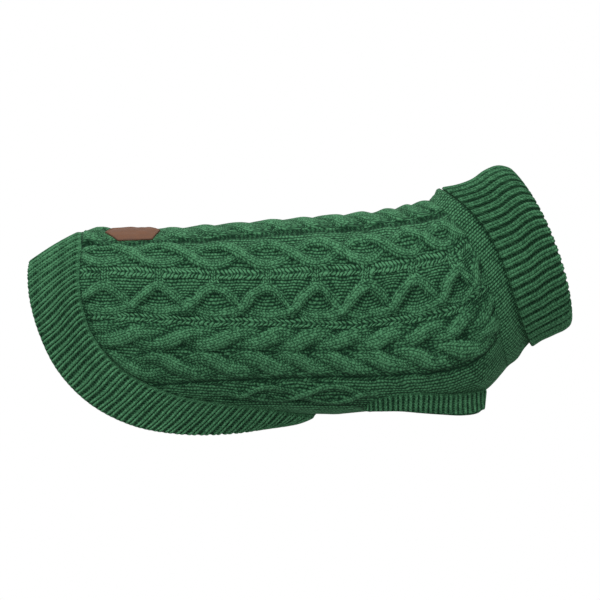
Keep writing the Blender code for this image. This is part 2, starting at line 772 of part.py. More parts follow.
def cuff_edge(shares):
    """The free edge of the right cuff, from its rear end along the outer side."""
    angles = np.linspace(0, 2 * math.pi, 161)[:-1]
    across, along = np.sin(angles), -np.cos(angles)
    power = 2 / CUFF_SQUARE
    x = CUFF_CENTRE[0] + CUFF_HALF_LENGTH * np.sign(along) * np.abs(along) ** power
    y = -CUFF_CENTRE[1] - CUFF_HALF_WIDTH * np.sign(across) * np.abs(across) ** power
    return on_loop(np.stack([x, y, np.full(len(x), CUFF_EDGE_Z)], 1), shares)


def cuff(name, turn, material):
    """A leg cuff. Turn is 1 on the right side and -1 on the left."""
    build = Builder()
    rows = all_rows()
    outer_hole, inner_hole = leg_hole(rows, WALL), leg_hole(rows[::COARSE], 0.0)
    shares, tops = rib_columns(CUFF_RIBS)
    plain_shares = np.arange(CUFF_RIBS) / CUFF_RIBS

    def row(places, across, out):
        start, end = on_loop(outer_hole, places), cuff_edge(places)
        points = start + (end - start) * across
        normals = ring_normals(points, start, end, points.mean(axis=0))
        return points + normals * np.reshape(out, (-1, 1))

    rib = CUFF_RIB_HEIGHT * tops
    rings_of_points = [
        (outer_hole, loop_shares(outer_hole)),
        (row(shares, 0.25, rib), shares),
        (row(shares, 1.0, rib), shares),
        (row(plain_shares, 1.0, -WALL), plain_shares),
        (row(plain_shares, 0.35, -WALL), plain_shares),
        (inner_hole, loop_shares(inner_hole)),
    ]
    made = [(build.add(points * (1, turn, 1)), at) for points, at in rings_of_points]
    join_rows(build, made + made[:1])
    build.finish(name, material, 40)


def label(material):
    """A leather patch bent over the back, on the panel's points moved out."""
    build = Builder()
    along = np.linspace(-1, 1, 9) * LABEL_HALF_LENGTH
    across = np.linspace(-1, 1, 9)
    flat = np.clip(
        (LABEL_HALF_LENGTH - np.abs(along)) / (LABEL_HALF_LENGTH - LABEL_HALF_FLAT), 0.03, 1
    )
    arcs = LABEL_ARC + LABEL_HALF_HEIGHT * flat[:, None] * across[None, :]
    stations = LABEL_STATION + np.repeat(along, len(across))
    wales = (arcs / (GIRTH_HALF * label_girth_share())).ravel()
    low = WALL + LABEL_SEAT + LABEL_CLEARANCE
    faces = []
    for out in (low, low + LABEL_THICKNESS):
        numbers = build.add(torso(stations, wales, out))
        grid = [numbers[k : k + len(across)] for k in range(0, len(numbers), len(across))]
        for left, right in zip(grid, grid[1:]):
            build.zip(left, right, across, across)
        faces.append(grid)
    under, over = faces
    for low_row, high_row in ((under[0], over[0]), (under[-1], over[-1])):
        build.zip(low_row, high_row, across, across)
    for end in (0, -1):
        build.zip([r[end] for r in under], [r[end] for r in over], along, along)
    build.finish("label", material, 40)


def main():
    clear_scene()
    green = make_material("green_knit", GREEN, 0.9)
    rib = make_material("green_rib", GREEN_RIB, 0.9)
    brown = make_material("brown_leather", BROWN, 0.6)
    back = walled_panel("back_panel", back_wales, back_relief, green)
    belly = walled_panel("belly_panel", belly_wales, no_relief, green)
    hem_band(back, belly, rib)
    collar(back, belly, rib)
    cuff("cuff_right", 1, rib)
    cuff("cuff_left", -1, rib)
    label(brown)


main()
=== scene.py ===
import math

import bpy
import numpy as np
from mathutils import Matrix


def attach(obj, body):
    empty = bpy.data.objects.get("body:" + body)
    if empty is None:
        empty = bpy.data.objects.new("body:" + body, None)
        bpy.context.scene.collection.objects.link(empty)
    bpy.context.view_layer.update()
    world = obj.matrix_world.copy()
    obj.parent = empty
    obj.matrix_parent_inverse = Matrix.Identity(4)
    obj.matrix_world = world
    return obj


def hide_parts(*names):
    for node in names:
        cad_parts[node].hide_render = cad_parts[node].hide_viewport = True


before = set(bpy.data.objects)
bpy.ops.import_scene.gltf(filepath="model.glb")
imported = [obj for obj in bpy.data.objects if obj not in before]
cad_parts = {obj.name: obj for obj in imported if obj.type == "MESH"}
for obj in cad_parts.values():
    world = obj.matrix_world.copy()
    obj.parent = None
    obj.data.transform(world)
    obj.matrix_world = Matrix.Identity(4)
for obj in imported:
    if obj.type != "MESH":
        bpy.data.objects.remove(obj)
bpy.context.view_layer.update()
mm = 0.001
print("frame loaded")


# camera first: level with the body, far away with a long lens, like the photo
cameraSet = {
    "pixels": 600,
    "mmPerPixel": 0.82,
    "centreX": 28.7,
    "centreZ": -61.9,
    "distance": 6000.0,
    "sensor": 36,
}


def addObject(name, data, place):
    made = bpy.data.objects.new(name, data)
    made.location = place
    bpy.context.scene.collection.objects.link(made)
    return made


def makeCamera():
    lens = bpy.data.cameras.new("photoCamera")
    lens.sensor_width = cameraSet["sensor"]
    lens.lens = cameraSet["sensor"] * cameraSet["distance"] / (cameraSet["pixels"] * cameraSet["mmPerPixel"])
    lens.clip_start = 0.1
    lens.clip_end = 100
    place = cameraSet["centreX"] * mm, -cameraSet["distance"] * mm, cameraSet["centreZ"] * mm
    holder = addObject("photoCamera", lens, place)
    holder.rotation_euler = (math.pi / 2, 0, 0)
    bpy.context.scene.camera = holder


makeCamera()
print("camera set")


# the body's form, in mm: the same sections as the solids
bodySet = {
    "wall": 2.2,  # from the inner face, which the sections give, to the outer one
    "liningOut": 0.15,  # the plain inner side stands out this far from it
    "girthHalf": 212.0,  # round the outside, from spine to belly
    "topSquare": 2.15,
    "bowSkew": 0.7,
    # topX, topZ, bottomX, bottomZ, halfWidth, bow, bottomSquare
    "sections": [
        (-156, -8.5, -156, -147.0, 43, 0, 2.6),
        (-119, -6.5, -119, -150.5, 48, 0, 2.6),
        (-53, -4.0, -53, -152.5, 51, 0, 2.6),
        (0, 0.0, 0, -153.0, 53, 0, 2.6),
        (40, 3.5, 42, -153.5, 54, 0, 2.7),
        (74, 5.5, 82, -151.0, 54, 1, 3.2),
        (102, 8.5, 120, -144.0, 54, 4, 4.0),
        (120, 12.5, 157, -139.5, 52, 8, 3.6),
        (130, 16.0, 182, -132.0, 49, 12, 2.6),
        (137, 18.5, 198, -113.5, 45, 15, 2.2),
    ],
    "neckStation": 167.0,
    # wale, station
    "hemSeam": [
        (0.0, -150), (0.17, -150.5), (0.36, -151), (0.45, -148), (0.555, -141), (0.64, -129),
        (0.72, -109), (0.77, -90), (0.815, -66), (0.845, -38), (0.875, -6), (0.915, 18),
        (0.955, 34), (1.0, 40),
    ],
    # station, the back panel's border, the belly panel's border
    "border": [
        (-160, 0.842, 0.842), (30, 0.842, 0.842), (60, 0.849, 0.849), (78, 0.868, 0.868),
        (82, 0.838, 0.900), (88, 0.818, 0.922), (96, 0.810, 0.933), (106, 0.809, 0.937),
        (117, 0.816, 0.938), (127, 0.833, 0.938), (136, 0.857, 0.938), (144, 0.883, 0.937),
        (150, 0.904, 0.933), (154, 0.924, 0.924), (167, 0.93, 0.93),
    ],
    "sideGap": 0.0007,  # half the gap between the panels, in wales
    "seamOverlap": 0.9,  # mm that a knitted-on edge covers the panel
    "legRear": 78.0,
    "legFront": 154.0,
}


def smoothCurve(x, knots, values):  # a smooth line through the knots
    x, knots, values = (np.asarray(a, float) for a in (x, knots, values))
    steps = np.diff(knots)
    slopes = np.diff(values) / steps
    inner = (steps[1:] * slopes[:-1] + steps[:-1] * slopes[1:]) / (steps[1:] + steps[:-1])
    tangents = np.concatenate([slopes[:1], inner, slopes[-1:]])
    i = np.clip(np.searchsorted(knots, x, side="right") - 1, 0, len(knots) - 2)
    t = (x - knots[i]) / steps[i]
    start = values[i] * (2 * t**3 - 3 * t**2 + 1) + steps[i] * tangents[i] * (t**3 - 2 * t**2 + t)
    end = values[i + 1] * (3 * t**2 - 2 * t**3) + steps[i] * tangents[i + 1] * (t**3 - t**2)
    return start + end


def onTable(x, table):  # the same through a table of two columns
    return smoothCurve(x, *np.array(table, float).T)


def softStep(x, low, high):
    t = np.clip((np.asarray(x, float) - low) / (high - low), 0, 1)
    return t * t * (3 - 2 * t)


def swell(x, low, full, fall, gone):  # rises from low to full, and sinks from fall to gone
    return softStep(x, low, full) * (1 - softStep(x, fall, gone))


def unit(vectors):
    return vectors / np.maximum(np.linalg.norm(vectors, axis=-1, keepdims=True), 1e-12)


def facing(vectors, away):  # all of them turned round if they point against the others
    return -vectors if np.sum(vectors * away) < 0 else vectors


def nextToLast(points, axis=0):  # from each point's neighbour behind to the one ahead, round a loop
    return np.roll(points, -1, axis=axis) - np.roll(points, 1, axis=axis)


def bothSides(left):  # a loop from its left half
    return np.vstack([left, left[-2:0:-1] * (1, -1, 1)])


def halfRing(sizes, angles):  # from the top round the left side to the bottom
    topX, topZ, bottomX, bottomZ, halfWidth, bow, bottomSquare, skew = sizes
    square = bodySet["topSquare"] + (bottomSquare - bodySet["topSquare"]) * (1 - np.cos(angles)) / 2
    up = np.sign(np.cos(angles)) * np.abs(np.cos(angles)) ** (2 / square)
    out = np.abs(np.sin(angles)) ** (2 / square)
    x = (topX + bottomX) / 2 + (topX - bottomX) / 2 * up + bow * out**2 * (1 + skew * up)
    z = (topZ + bottomZ) / 2 + (topZ - bottomZ) / 2 * up
    return np.stack([x, halfWidth * out, z], -1)


def runAlong(points):  # mm from the first row of points to each
    steps = np.linalg.norm(np.diff(points, axis=0), axis=-1)
    return np.concatenate([np.zeros((1,) + steps.shape[1:]), np.cumsum(steps, axis=0)])


def between(points, at, shares):  # points at shares of a line that passes its own points at others
    return np.stack([np.interp(shares, at, column) for column in points.T], 1)


halfAngles = np.linspace(0, math.pi, 181)
chartStations = np.arange(-176.0, 190.0, 1.0)
chartWales = np.linspace(0, 1, 321)


def chartTorso():  # points and outward normals of the inner face, by station and wale
    sections = np.array(bodySet["sections"], float)
    middle = (sections[:, 0] + sections[:, 2]) / 2
    sizes = [smoothCurve(chartStations, middle, column) for column in sections.T]
    rows = []
    for n in range(len(chartStations)):
        ring = halfRing([size[n] for size in sizes] + [bodySet["bowSkew"]], halfAngles)
        run = runAlong(ring)
        rows.append(between(ring, run / run[-1], chartWales))
    points = np.array(rows)
    mirror = points * (1, -1, 1)
    wide = np.concatenate([mirror[:, 3:0:-1], points, mirror[:, -2:-5:-1]], 1)
    along, across = np.gradient(wide, axis=(0, 1))
    return points, unit(np.cross(along, across))[:, 3:-3]


chartPoints, chartNormals = chartTorso()
chartRuns = runAlong(chartPoints)
chartRuns = (chartRuns - chartRuns[int(-chartStations[0])])[..., None]


def lookUp(chart, station, side):
    s = np.clip((station - chartStations[0]), 0, len(chartStations) - 1.001)
    w = np.clip(side * (len(chartWales) - 1), 0, len(chartWales) - 1.001)
    i, j = s.astype(int), w.astype(int)
    a, b = (s - i)[..., None], (w - j)[..., None]
    low = chart[i, j] * (1 - b) + chart[i, j + 1] * b
    high = chart[i + 1, j] * (1 - b) + chart[i + 1, j + 1] * b
    return low * (1 - a) + high * a


def signedWale(wale):  # 0 to 1 on the left, 0 to -1 on the right
    wale = np.asarray(wale, float)
    return np.where(wale > 1, wale - 2, wale)


def onTorso(station, wale, out):  # points a distance out from the inner face
    station, wale = np.broadcast_arrays(np.asarray(station, float), signedWale(wale))
    points = lookUp(chartPoints, station, np.abs(wale))
    normals = unit(lookUp(chartNormals, station, np.abs(wale)))
    made = points + np.asarray(out, float)[..., None] * normals
    made[..., 1] *= np.where(wale < 0, -1, 1)
    return made


def runAt(station, wale):  # mm along the cloth from station 0
    station, wale = np.broadcast_arrays(np.asarray(station, float), signedWale(wale))
    return lookUp(chartRuns, station, np.abs(wale))[..., 0]


def hemStation(wale):
    return onTable(np.abs(signedWale(wale)), bodySet["hemSeam"])


def borderWale(station, which):
    stations, back, belly = np.array(bodySet["border"], float).T
    return np.interp(station, stations, back if which == "back" else belly)


print("body charted")


# the cable pattern, in wales across (0 spine, 1 belly) and mm along
patternSet = {
    "laneStations": (-130, -60, 20, 90, 150),
    "spineEdge": (0.140, 0.137, 0.134, 0.136, 0.138),
    "ovalMiddle": (0.207, 0.230, 0.251, 0.252, 0.249),
    "ovalSwing": 0.044,
    "upperChain": (0.289, 0.310, 0.328, 0.329, 0.329),
    "archTop": (0.351, 0.366, 0.385, 0.393, 0.395),
    "archBottom": (0.451, 0.463, 0.488, 0.500, 0.505),
    "archCross": 0.79,  # how far down the arches their two strands cross
    "lowerChain": (0.474, 0.493, 0.517, 0.529, 0.529),
    "shoeTop": (0.500, 0.519, 0.538, 0.549, 0.551),
    "shoeMiddle": (0.604, 0.610, 0.614, 0.624, 0.636),
    "shoeBottom": (0.758, 0.734, 0.715, 0.714, 0.732),
    "lowerHoles": (0.783, 0.746, 0.728, 0.725, 0.746),
    "lowWave": (0.800, 0.796, 0.793, 0.793, 0.795),
    "lowWaveSwing": 0.034,
    "lowWaveEnds": (-30, 85),
    "waveRepeats": (-176, -131, -86, -41, 2, 43, 83, 119, 151, 168, 185),
    "shoeRepeats": (-172, -132, -92, -52, -14, 17, 47, 78, 107, 132, 155, 178),
    "lowRepeats": (-172, -127, -83, -38, 6, 53, 100, 147, 192),
    "spineRepeats": (-168, -141, -114, -87, -60, -33, -6, 21, 46, 74, 99, 124, 147, 170),
    "height": 4.0,  # mm that a cable stands up
    # station, how high the spine's cable stands
    "spineHeights": [
        (-160, 3.2), (-138, 5.6), (-118, 1.8), (-60, 2.3), (60, 2.5), (115, 3.4), (167, 1.8),
    ],
    "lowHeight": 3.0,
    "tieHeight": 1.3,  # the short ropes between the ovals and the arches
    # half a strand's width, in mm
    "spineHalf": 9.8,
    "shoeHalf": 6.9,
    "ovalHalf": 5.3,
    "archHalf": 4.9,
    "lowHalf": 3.6,
    "tieHalf": 5.0,
    "rowWide": 2.7,  # the plain ground
    "stitchWide": 4.5,  # the cables
    "stitchLong": 2.9,
    # contrast, tone where a strand dives, how much painted light it gets on top, how much painted shade
    # darkens its edges
    "ropeShades": (0.66, 0.43, 0.24, 0.60),
    # the chain's last number is painted shade at its edges
    "chainShades": (1.3, 0.51, 0.35),  # contrast, tone, how much darker at its edges
    "tieShades": (0.9, 0.56),
    "groundShades": (0.85, 0.53),
    # archShade is painted shade on the ground between the arches
    "archShade": 0.05,  # how much darker the ground is between the arches
    "archSides": (0.36, 0.39, 0.48, 0.51),
    "groundBow": 0.010,  # how far the ground's columns bow round the arches
    "bowSides": (0.35, 0.41, 0.51, 0.54),
    # the line a chain follows, half its width, its height, the length of a stitch
    "chains": [("upperChain", 5.2, 1.1, 3.12), ("lowerChain", 4.0, 0.8, 3.85)],
    "chainSlant": 1.1,  # how far a chain's middle runs ahead of its edges, in stitches per width
    "holeLong": 3.70,
    "holeHalf": 3.1,
    "holeClear": 2.5,  # cables stop this far from the middle of a hole row
    # the line a hole row follows and how far below it, contrast, tone and how much painted shade darkens its
    # holes
    "holeRows": [("spineEdge", 0.019, 0.40, 0.46, 1.0), ("lowerHoles", 0.0, 1.0, 0.38, 0.35)],
    "fade": 4.0,  # a cable sinks into a seam over this length
}
stationStep = 0.5
stationLine = np.arange(-180.0, 192.0, stationStep)
farBelow = -9.0  # the height of a cable where it doesn't reach


def lane(name, station):
    stations = patternSet["laneStations"]
    return smoothCurve(np.clip(station, stations[0], stations[-1]), stations, patternSet[name])


def laneLine(name, shift=0.0):
    return lambda station: lane(name, station) + shift


def repeatCount(station, name):
    table = patternSet[name]
    return np.interp(station, table, np.arange(len(table)))


def turnAngle(station, name, turn):  # half a turn for each repeat
    return math.pi * (repeatCount(station, name) + turn)


def zone(height, u, v, contrast, tone, holes=0.0, purl=0.0):
    # where a rope, a chain or the ground lies, and how its stitches look
    return {
        "height": height, "u": u, "v": v, "contrast": contrast, "tone": tone, "holes": holes, "purl": purl,
    }


def strand(station, side, middleAt, half, height, lift):
    # one rope of stitches that follows its middle line; lift says how high it rides
    girth = bodySet["girthHalf"]
    lineMiddle = middleAt(stationLine)
    lineLean = np.gradient(lineMiddle, stationLine) * girth
    lineRun = np.concatenate([[0], np.cumsum(np.sqrt(1 + lineLean[1:] ** 2) * stationStep)])
    lines = lineMiddle, lineLean, lineRun
    middle, lean, ropeRun = (np.interp(station, stationLine, line) for line in lines)
    stretch = np.sqrt(1 + lean**2)
    off = (side - middle) * girth
    across = off / stretch
    run = ropeRun + off * lean / stretch + runAt(station, side) - station
    inside = np.clip(1 - (across / half) ** 2, 0, 1)
    rise = np.where(np.abs(across) < half, height * lift * inside**0.5, farBelow)
    contrast, base, lighter, darker = patternSet["ropeShades"]
    # painted light where the strand rides on top, painted shade at its edges
    tone = base + lighter * lift - darker * (1 - inside) ** 2.2
    u, v = run / patternSet["stitchLong"], across / patternSet["stitchWide"] + 0.5
    return zone(rise, u, v, contrast, tone)


def twist(station, side, countName, innerAt, outerAt, half, turn, height):
    # one strand of a cable that always crosses outwards on top
    def middleAt(s):
        inner, outer = innerAt(s), outerAt(s)
        return (inner + outer) / 2 - (outer - inner) * 0.25 * np.cos(turnAngle(s, countName, turn))

    lift = 0.52 + 0.48 * np.sin(turnAngle(station, countName, turn))
    return strand(station, side, middleAt, half, height, lift)


def crossing(station, side, topAt, bottomAt, cross, half, turn, overUp):
    # one of two strands that cross and part; overUp says which way the top one leans
    def middleAt(s):
        wave = np.cos(turnAngle(s, "waveRepeats", turn))
        if overUp:
            wave = 0.55 * wave + 0.45 * np.arcsin(0.97 * wave) / math.asin(0.97)
        top, bottom = topAt(s), bottomAt(s)
        return top + (bottom - top) * (cross - np.where(wave > 0, cross, 1 - cross) * wave)

    lift = 0.72 + 0.28 * np.sin(turnAngle(station, "waveRepeats", turn)) * (-1 if overUp else 1)
    return strand(station, side, middleAt, half, patternSet["height"], lift)


def lowWave(station, side, turn):  # it sinks into the ground at both ends
    start, end = patternSet["lowWaveEnds"]

    def middleAt(s):
        swing = patternSet["lowWaveSwing"] * swell(s, start, start + 20, end - 20, end)
        return lane("lowWave", s) + swing * np.cos(turnAngle(s, "lowRepeats", turn))

    lift = 0.75 + 0.25 * np.sin(turnAngle(station, "lowRepeats", turn))
    made = strand(station, side, middleAt, patternSet["lowHalf"], patternSet["lowHeight"], lift)
    stay = swell(station, start - 10, start + 10, end - 15, end + 5)
    made["height"] = np.where(stay > 0.02, made["height"] * stay, farBelow)
    return made


def chainRow(station, side, name, half, height, stitchLong):
    made = strand(station, side, laneLine(name), half, height, 1.0)
    made["v"] = (side - lane(name, station)) * bodySet["girthHalf"] / (2 * half) + 0.5
    edge = np.abs(made["v"] - 0.5)
    made["u"] = runAt(station, side) / stitchLong + patternSet["chainSlant"] * edge
    made["contrast"], base, darker = patternSet["chainShades"]
    # painted shade at the chain's edges
    made["tone"] = base - darker * np.clip(2 * edge, 0, 1) ** 6
    return made


def fromHoles(station, side, row):  # mm below the middle of a hole row
    return (side - lane(row[0], station) - row[1]) * bodySet["girthHalf"]


def holeRow(station, side, row):  # a narrow row of dark holes in a trough
    half, off = patternSet["holeHalf"], fromHoles(station, side, row)
    rise = np.where(np.abs(off) < half, -0.9 * np.clip(1 - (off / half) ** 2, 0, 1), farBelow)
    u = runAt(station, side) / patternSet["holeLong"] + 0.6 * np.abs(off / (2 * half))
    return zone(rise, u, off / (2 * half) + 0.5, *row[2:])


def ties(station, side):  # short upright ropes from each oval down to the arch below it
    table, half = np.array(patternSet["waveRepeats"]), patternSet["tieHalf"]
    off = station - table[np.round(repeatCount(station, "waveRepeats")).astype(int)]
    top = lane("ovalMiddle", station) + patternSet["ovalSwing"]
    inside = (side > top) & (side < lane("archTop", station)) & (np.abs(off) < half)
    rise = patternSet["tieHeight"] * np.clip(1 - (off / half) ** 2, 0, 1) ** 0.5
    u = side * bodySet["girthHalf"] / patternSet["stitchLong"]
    v = off / patternSet["stitchWide"] + 0.5
    return zone(np.where(inside, rise, farBelow), u, v, *patternSet["tieShades"])


def plainGround(station, side):  # plain columns that run along the body, and bow round the arches
    wave = np.cos(2 * math.pi * repeatCount(station, "waveRepeats"))
    bow = patternSet["groundBow"] * wave * swell(side, *patternSet["bowSides"])
    shift = (lane("archBottom", station) - patternSet["archBottom"][2]) + bow
    level = 0.0 * station
    for row in patternSet["holeRows"]:
        level = np.where(np.abs(fromHoles(station, side, row)) < patternSet["holeHalf"], farBelow + 1, level)
    u = runAt(station, side) / patternSet["stitchLong"]
    v = (side - shift) * bodySet["girthHalf"] / patternSet["rowWide"]
    contrast, tone = patternSet["groundShades"]
    # painted shade on the ground between the arches
    tone = tone - patternSet["archShade"] * swell(side, *patternSet["archSides"])
    return zone(level, u, v, contrast, tone, 0.0, np.where(side < lane("spineEdge", station), 0.0, 1.0))


def backZones(station, side):
    pattern, swing = patternSet, patternSet["ovalSwing"]
    spineHeight = onTable(station, pattern["spineHeights"])
    # repeats, inner and outer line, half width and height of the cables that twist
    twists = [("spineRepeats", lambda s: 0 * s, laneLine("spineEdge"), pattern["spineHalf"], spineHeight)]
    for edge in ("shoeTop", "shoeBottom"):
        twists.append(
            ("shoeRepeats", laneLine("shoeMiddle"), laneLine(edge), pattern["shoeHalf"], pattern["height"])
        )
    ovals = laneLine("ovalMiddle", -swing), laneLine("ovalMiddle", swing), 0.5, pattern["ovalHalf"]
    arches = laneLine("archTop"), laneLine("archBottom"), pattern["archCross"], pattern["archHalf"]
    zones = [plainGround(station, side)]
    for turn in (0, 1):
        for countName, innerAt, outerAt, half, height in twists:
            zones.append(twist(station, side, countName, innerAt, outerAt, half, turn, height))
        zones.append(crossing(station, side, *ovals, turn, False))
        arch = crossing(station, side, *arches, turn, True)
        atFoot = np.cos(turnAngle(station, "waveRepeats", turn)) < -0.2
        arch["height"] = np.where(atFoot, arch["height"] * 0.45, arch["height"])
        zones += [arch, lowWave(station, side, turn)]
    zones += [chainRow(station, side, *chain) for chain in pattern["chains"]]
    zones.append(ties(station, side))
    for row in pattern["holeRows"]:
        cleared = np.abs(fromHoles(station, side, row)) < pattern["holeClear"]
        for cable in zones[1:]:
            cable["height"] = np.where(cleared, farBelow, cable["height"])
        zones.append(holeRow(station, side, row))
    return zones


# creases in the cloth
creaseSet = {
    "waver": 1.2,  # mm that a crease's line strays
    # station, side, angle from the body's length, half length and width in mm, depth in mm, and
    # 1 on the right, -1 on the left, 0 on both
    "lines": [
        (24, 0.840, 2, 50, 3.2, 3.0, 1),
        (10, 0.838, -3, 44, 3.6, 2.4, -1),
        (-34, 0.815, 13, 26, 5.0, 1.3, 0),
        (-141, 0.51, 70, 18, 4.0, 2.7, 0),
        (-125, 0.66, 52, 20, 4.0, 1.6, 0),
        (-139, 0.30, 95, 14, 4.0, 0.8, 0),
        (-96, 0.76, 40, 20, 5.0, 1.2, 0),
        (150, 0.77, 42, 26, 6.0, 1.6, 0),
        (159, 0.58, 65, 20, 5.0, 1.2, 0),
        (161, 0.36, 80, 16, 4.0, 0.9, 0),
    ],
}


def creaseDepth(station, wale):
    side = np.abs(wale)
    depth = np.zeros_like(station)
    for at, where, angle, half, width, deep, face in creaseSet["lines"]:
        turn = math.radians(angle)
        ahead, down = station - at, (side - where) * bodySet["girthHalf"]
        along = ahead * math.cos(turn) + down * math.sin(turn)
        off = down * math.cos(turn) - ahead * math.sin(turn)
        off = off - creaseSet["waver"] * np.sin(along * 0.13 + at)
        line = np.exp(-((off / width) ** 2)) * np.exp(-1.5 * (along / half) ** 2)
        if face:
            line = line * (np.sign(-wale) == face)
        depth += deep * line * (0.85 + 0.15 * np.sin(station * 0.21 + where * 40))
    return depth


def softNoise(shape, cell, seed):  # slow uneven height, the same every run
    rng = np.random.default_rng(seed)
    rows, columns = (max(4, int(n / cell) + 3) for n in shape)
    coarse = rng.normal(size=(rows, columns))
    i = np.linspace(0, rows - 1.001, shape[0])
    j = np.linspace(0, columns - 1.001, shape[1])
    a, b = i.astype(int), j.astype(int)
    s, t = i - a, j - b
    s, t = (s * s * (3 - 2 * s))[:, None], (t * t * (3 - 2 * t))[None, :]
    low = coarse[a][:, b] * (1 - t) + coarse[a][:, b + 1] * t
    high = coarse[a + 1][:, b] * (1 - t) + coarse[a + 1][:, b + 1] * t
    return low * (1 - s) + high * s


def waviness(shape, table):  # a sum of noises
    return sum(size * softNoise(shape, cell, seed) for size, cell, seed in table)


def blurred(grid, reach, rounds=3):
    for _ in range(rounds):
        for axis in (0, 1):
            pad = [(0, 0), (0, 0)]
            pad[axis] = (reach, reach)
            wide = np.pad(grid, pad, mode="edge")
            windows = np.lib.stride_tricks.sliding_window_view(wide, 2 * reach + 1, axis=axis)
            grid = windows.mean(-1)
    return grid


def fourCorners(grid, closed=False):  # a value for each corner of each quad
    ahead = np.roll(grid, -1, axis=1) if closed else grid[:, 1:]
    here = grid if closed else grid[:, :-1]
    return np.stack([here[:-1], here[1:], ahead[1:], ahead[:-1]], -1).reshape(-1, 4)


def unwrapped(corners, jump):  # where a count starts again inside a face, the face keeps its first value
    return np.where(np.abs(corners[:, :1] - corners) > jump, corners[:, :1], corners)


class Cloth:
    # gathers a piece's points and faces, with its stitch map and its shade at each corner
    def __init__(self):
        self.points, self.faces, self.stitch, self.shade = [], [], [], []
        self.count = 0

    def addPoints(self, grid):
        flat = grid.reshape(-1, 3)
        first = self.count
        self.points.append(flat * mm)
        self.count += len(flat)
        return np.arange(first, self.count).reshape(grid.shape[:-1])

    def addQuads(self, numbers, u, v, contrast, tone, holes, purl=0.0, flip=False, closed=False):
        # u, v and the shades are one number, or one for each face's four corners
        quads = fourCorners(numbers, closed)
        parts = [np.broadcast_to(x, quads.shape) for x in (u, v, contrast, tone, holes, purl)]
        if flip:
            quads = quads[:, ::-1]
            parts = [x[:, ::-1] for x in parts]
        self.faces.append(quads)
        self.stitch.append(np.stack(parts[:2], -1).reshape(-1, 2))
        self.shade.append(np.stack(parts[2:], -1).reshape(-1, 4))

    def join(self, left, right, flip, shade=(0.5, 0.45, 0.0, 0.0)):
        # a strip of triangles between two edges with different counts
        i = j = 0
        made = []
        while i < len(left) - 1 or j < len(right) - 1:
            a, b = (i + 1) / (len(left) - 1), (j + 1) / (len(right) - 1)
            if j == len(right) - 1 or (i < len(left) - 1 and a <= b):
                made.append((left[i], left[i + 1], right[j]))
                i += 1
            else:
                made.append((left[i], right[j + 1], right[j]))
                j += 1
        made = np.array(made)
        self.faces.append(made[:, ::-1] if flip else made)
        self.stitch.append(np.zeros((made.size, 2)))
        self.shade.append(np.tile(shade, (made.size, 1)))

    def joinSides(self, outer, inner):  # all four edges of a panel
        sides = [(outer[0], inner[0], True), (outer[-1], inner[-1], False)]
        sides += [(outer[:, 0], inner[:, 0], False), (outer[:, -1], inner[:, -1], True)]
        for left, right, flip in sides:
            self.join(left, right, flip)

    def finish(self, name, material):
        points = np.concatenate(self.points)
        loops = np.concatenate([f.reshape(-1) for f in self.faces])
        sizes = np.concatenate([np.full(len(f), f.shape[1]) for f in self.faces])
        starts = np.concatenate([[0], np.cumsum(sizes)[:-1]])
        mesh = bpy.data.meshes.new(name)
        mesh.vertices.add(len(points))
        mesh.vertices.foreach_set("co", points.astype(np.float32).ravel())
        mesh.loops.add(len(loops))
        mesh.loops.foreach_set("vertex_index", loops.astype(np.int32))
        mesh.polygons.add(len(sizes))
        mesh.polygons.foreach_set("loop_start", starts.astype(np.int32))
        mesh.update(calc_edges=True)
        layer = mesh.uv_layers.new(name="stitch")
        layer.data.foreach_set("uv", np.concatenate(self.stitch).astype(np.float32).ravel())
        shade = mesh.color_attributes.new(name="shade", type="FLOAT_COLOR", domain="CORNER")
        shade.data.foreach_set("color", np.concatenate(self.shade).astype(np.float32).ravel())
        mesh.shade_smooth()
        mesh.materials.append(material)
        if mesh.validate():
            print("mended a face in", name)
        print(name, sum(p.loop_total - 2 for p in mesh.polygons), "triangles")
        return addObject(name, mesh, (0, 0, 0))


def faceZones(zones):  # which zone each quad belongs to, and the corners' values in that zone
    heights = np.array([z["height"] for z in zones])
    middle = heights[:, :-1, :-1] + heights[:, 1:, :-1] + heights[:, :-1, 1:] + heights[:, 1:, 1:]
    best = middle.argmax(0).reshape(-1)
    picked = {}
    for key in ("u", "v", "contrast", "tone", "holes", "purl"):
        picked[key] = np.zeros((len(best), 4))
        for n, made in enumerate(zones):
            rows = best == n
            picked[key][rows] = fourCorners(np.broadcast_to(made[key], heights.shape[1:]))[rows]
    return heights.max(0), picked


def addLining(cloth, outer, station, wale):  # the plain inner side of a panel, joined to the outer one
    inner = cloth.addPoints(onTorso(station, wale, bodySet["liningOut"] + 0 * station))
    u = fourCorners(station / patternSet["stitchLong"])
    v = fourCorners(wale * bodySet["girthHalf"] / patternSet["rowWide"])
    cloth.addQuads(inner, u, v, 0.9, 0.42, 0.0, 1.0, flip=True)
    cloth.joinSides(outer, inner)


backSet = {
    "rows": 262,
    "columns": 300,
    "wander": 0.55,  # mm that the stitches stray round the body
    "wanderAlong": 1.5,  # how many times as far they stray along it
    "edgeWale": 0.842,  # the side seam's wale at the tail
    "uneven": [(0.22, 9, 3), (0.35, 30, 4)],  # height, cell and seed of the cloth's waviness
    "neckFade": 6.0,
    "neckRelief": 0.35,  # how much of the relief goes on under the collar
    "seamSink": 0.25,
    # painted shade between cables, by the seams and in the creases, painted light on the crests
    "hollowShade": 0.52,  # how much darker it is between cables
    "spineHollow": 0.20,  # and how much less of that there is by the spine
    "crestLight": -0.06,
    "seamShade": 0.17,
    "upperSeamShade": 0.16,  # more of it high on the sides
    "seamMottle": 0.06,
    "creaseShade": 0.15,
}


def backGrid(rows, columns):
    share = np.linspace(-1, 1, columns + 1)
    start = hemStation(backSet["edgeWale"] * np.abs(share))
    t = np.linspace(0, 1, rows + 1)[:, None]
    station = start[None, :] + (bodySet["neckStation"] - start[None, :]) * t
    wale = share[None, :] * (borderWale(station, "back") - bodySet["sideGap"])
    return station, wale


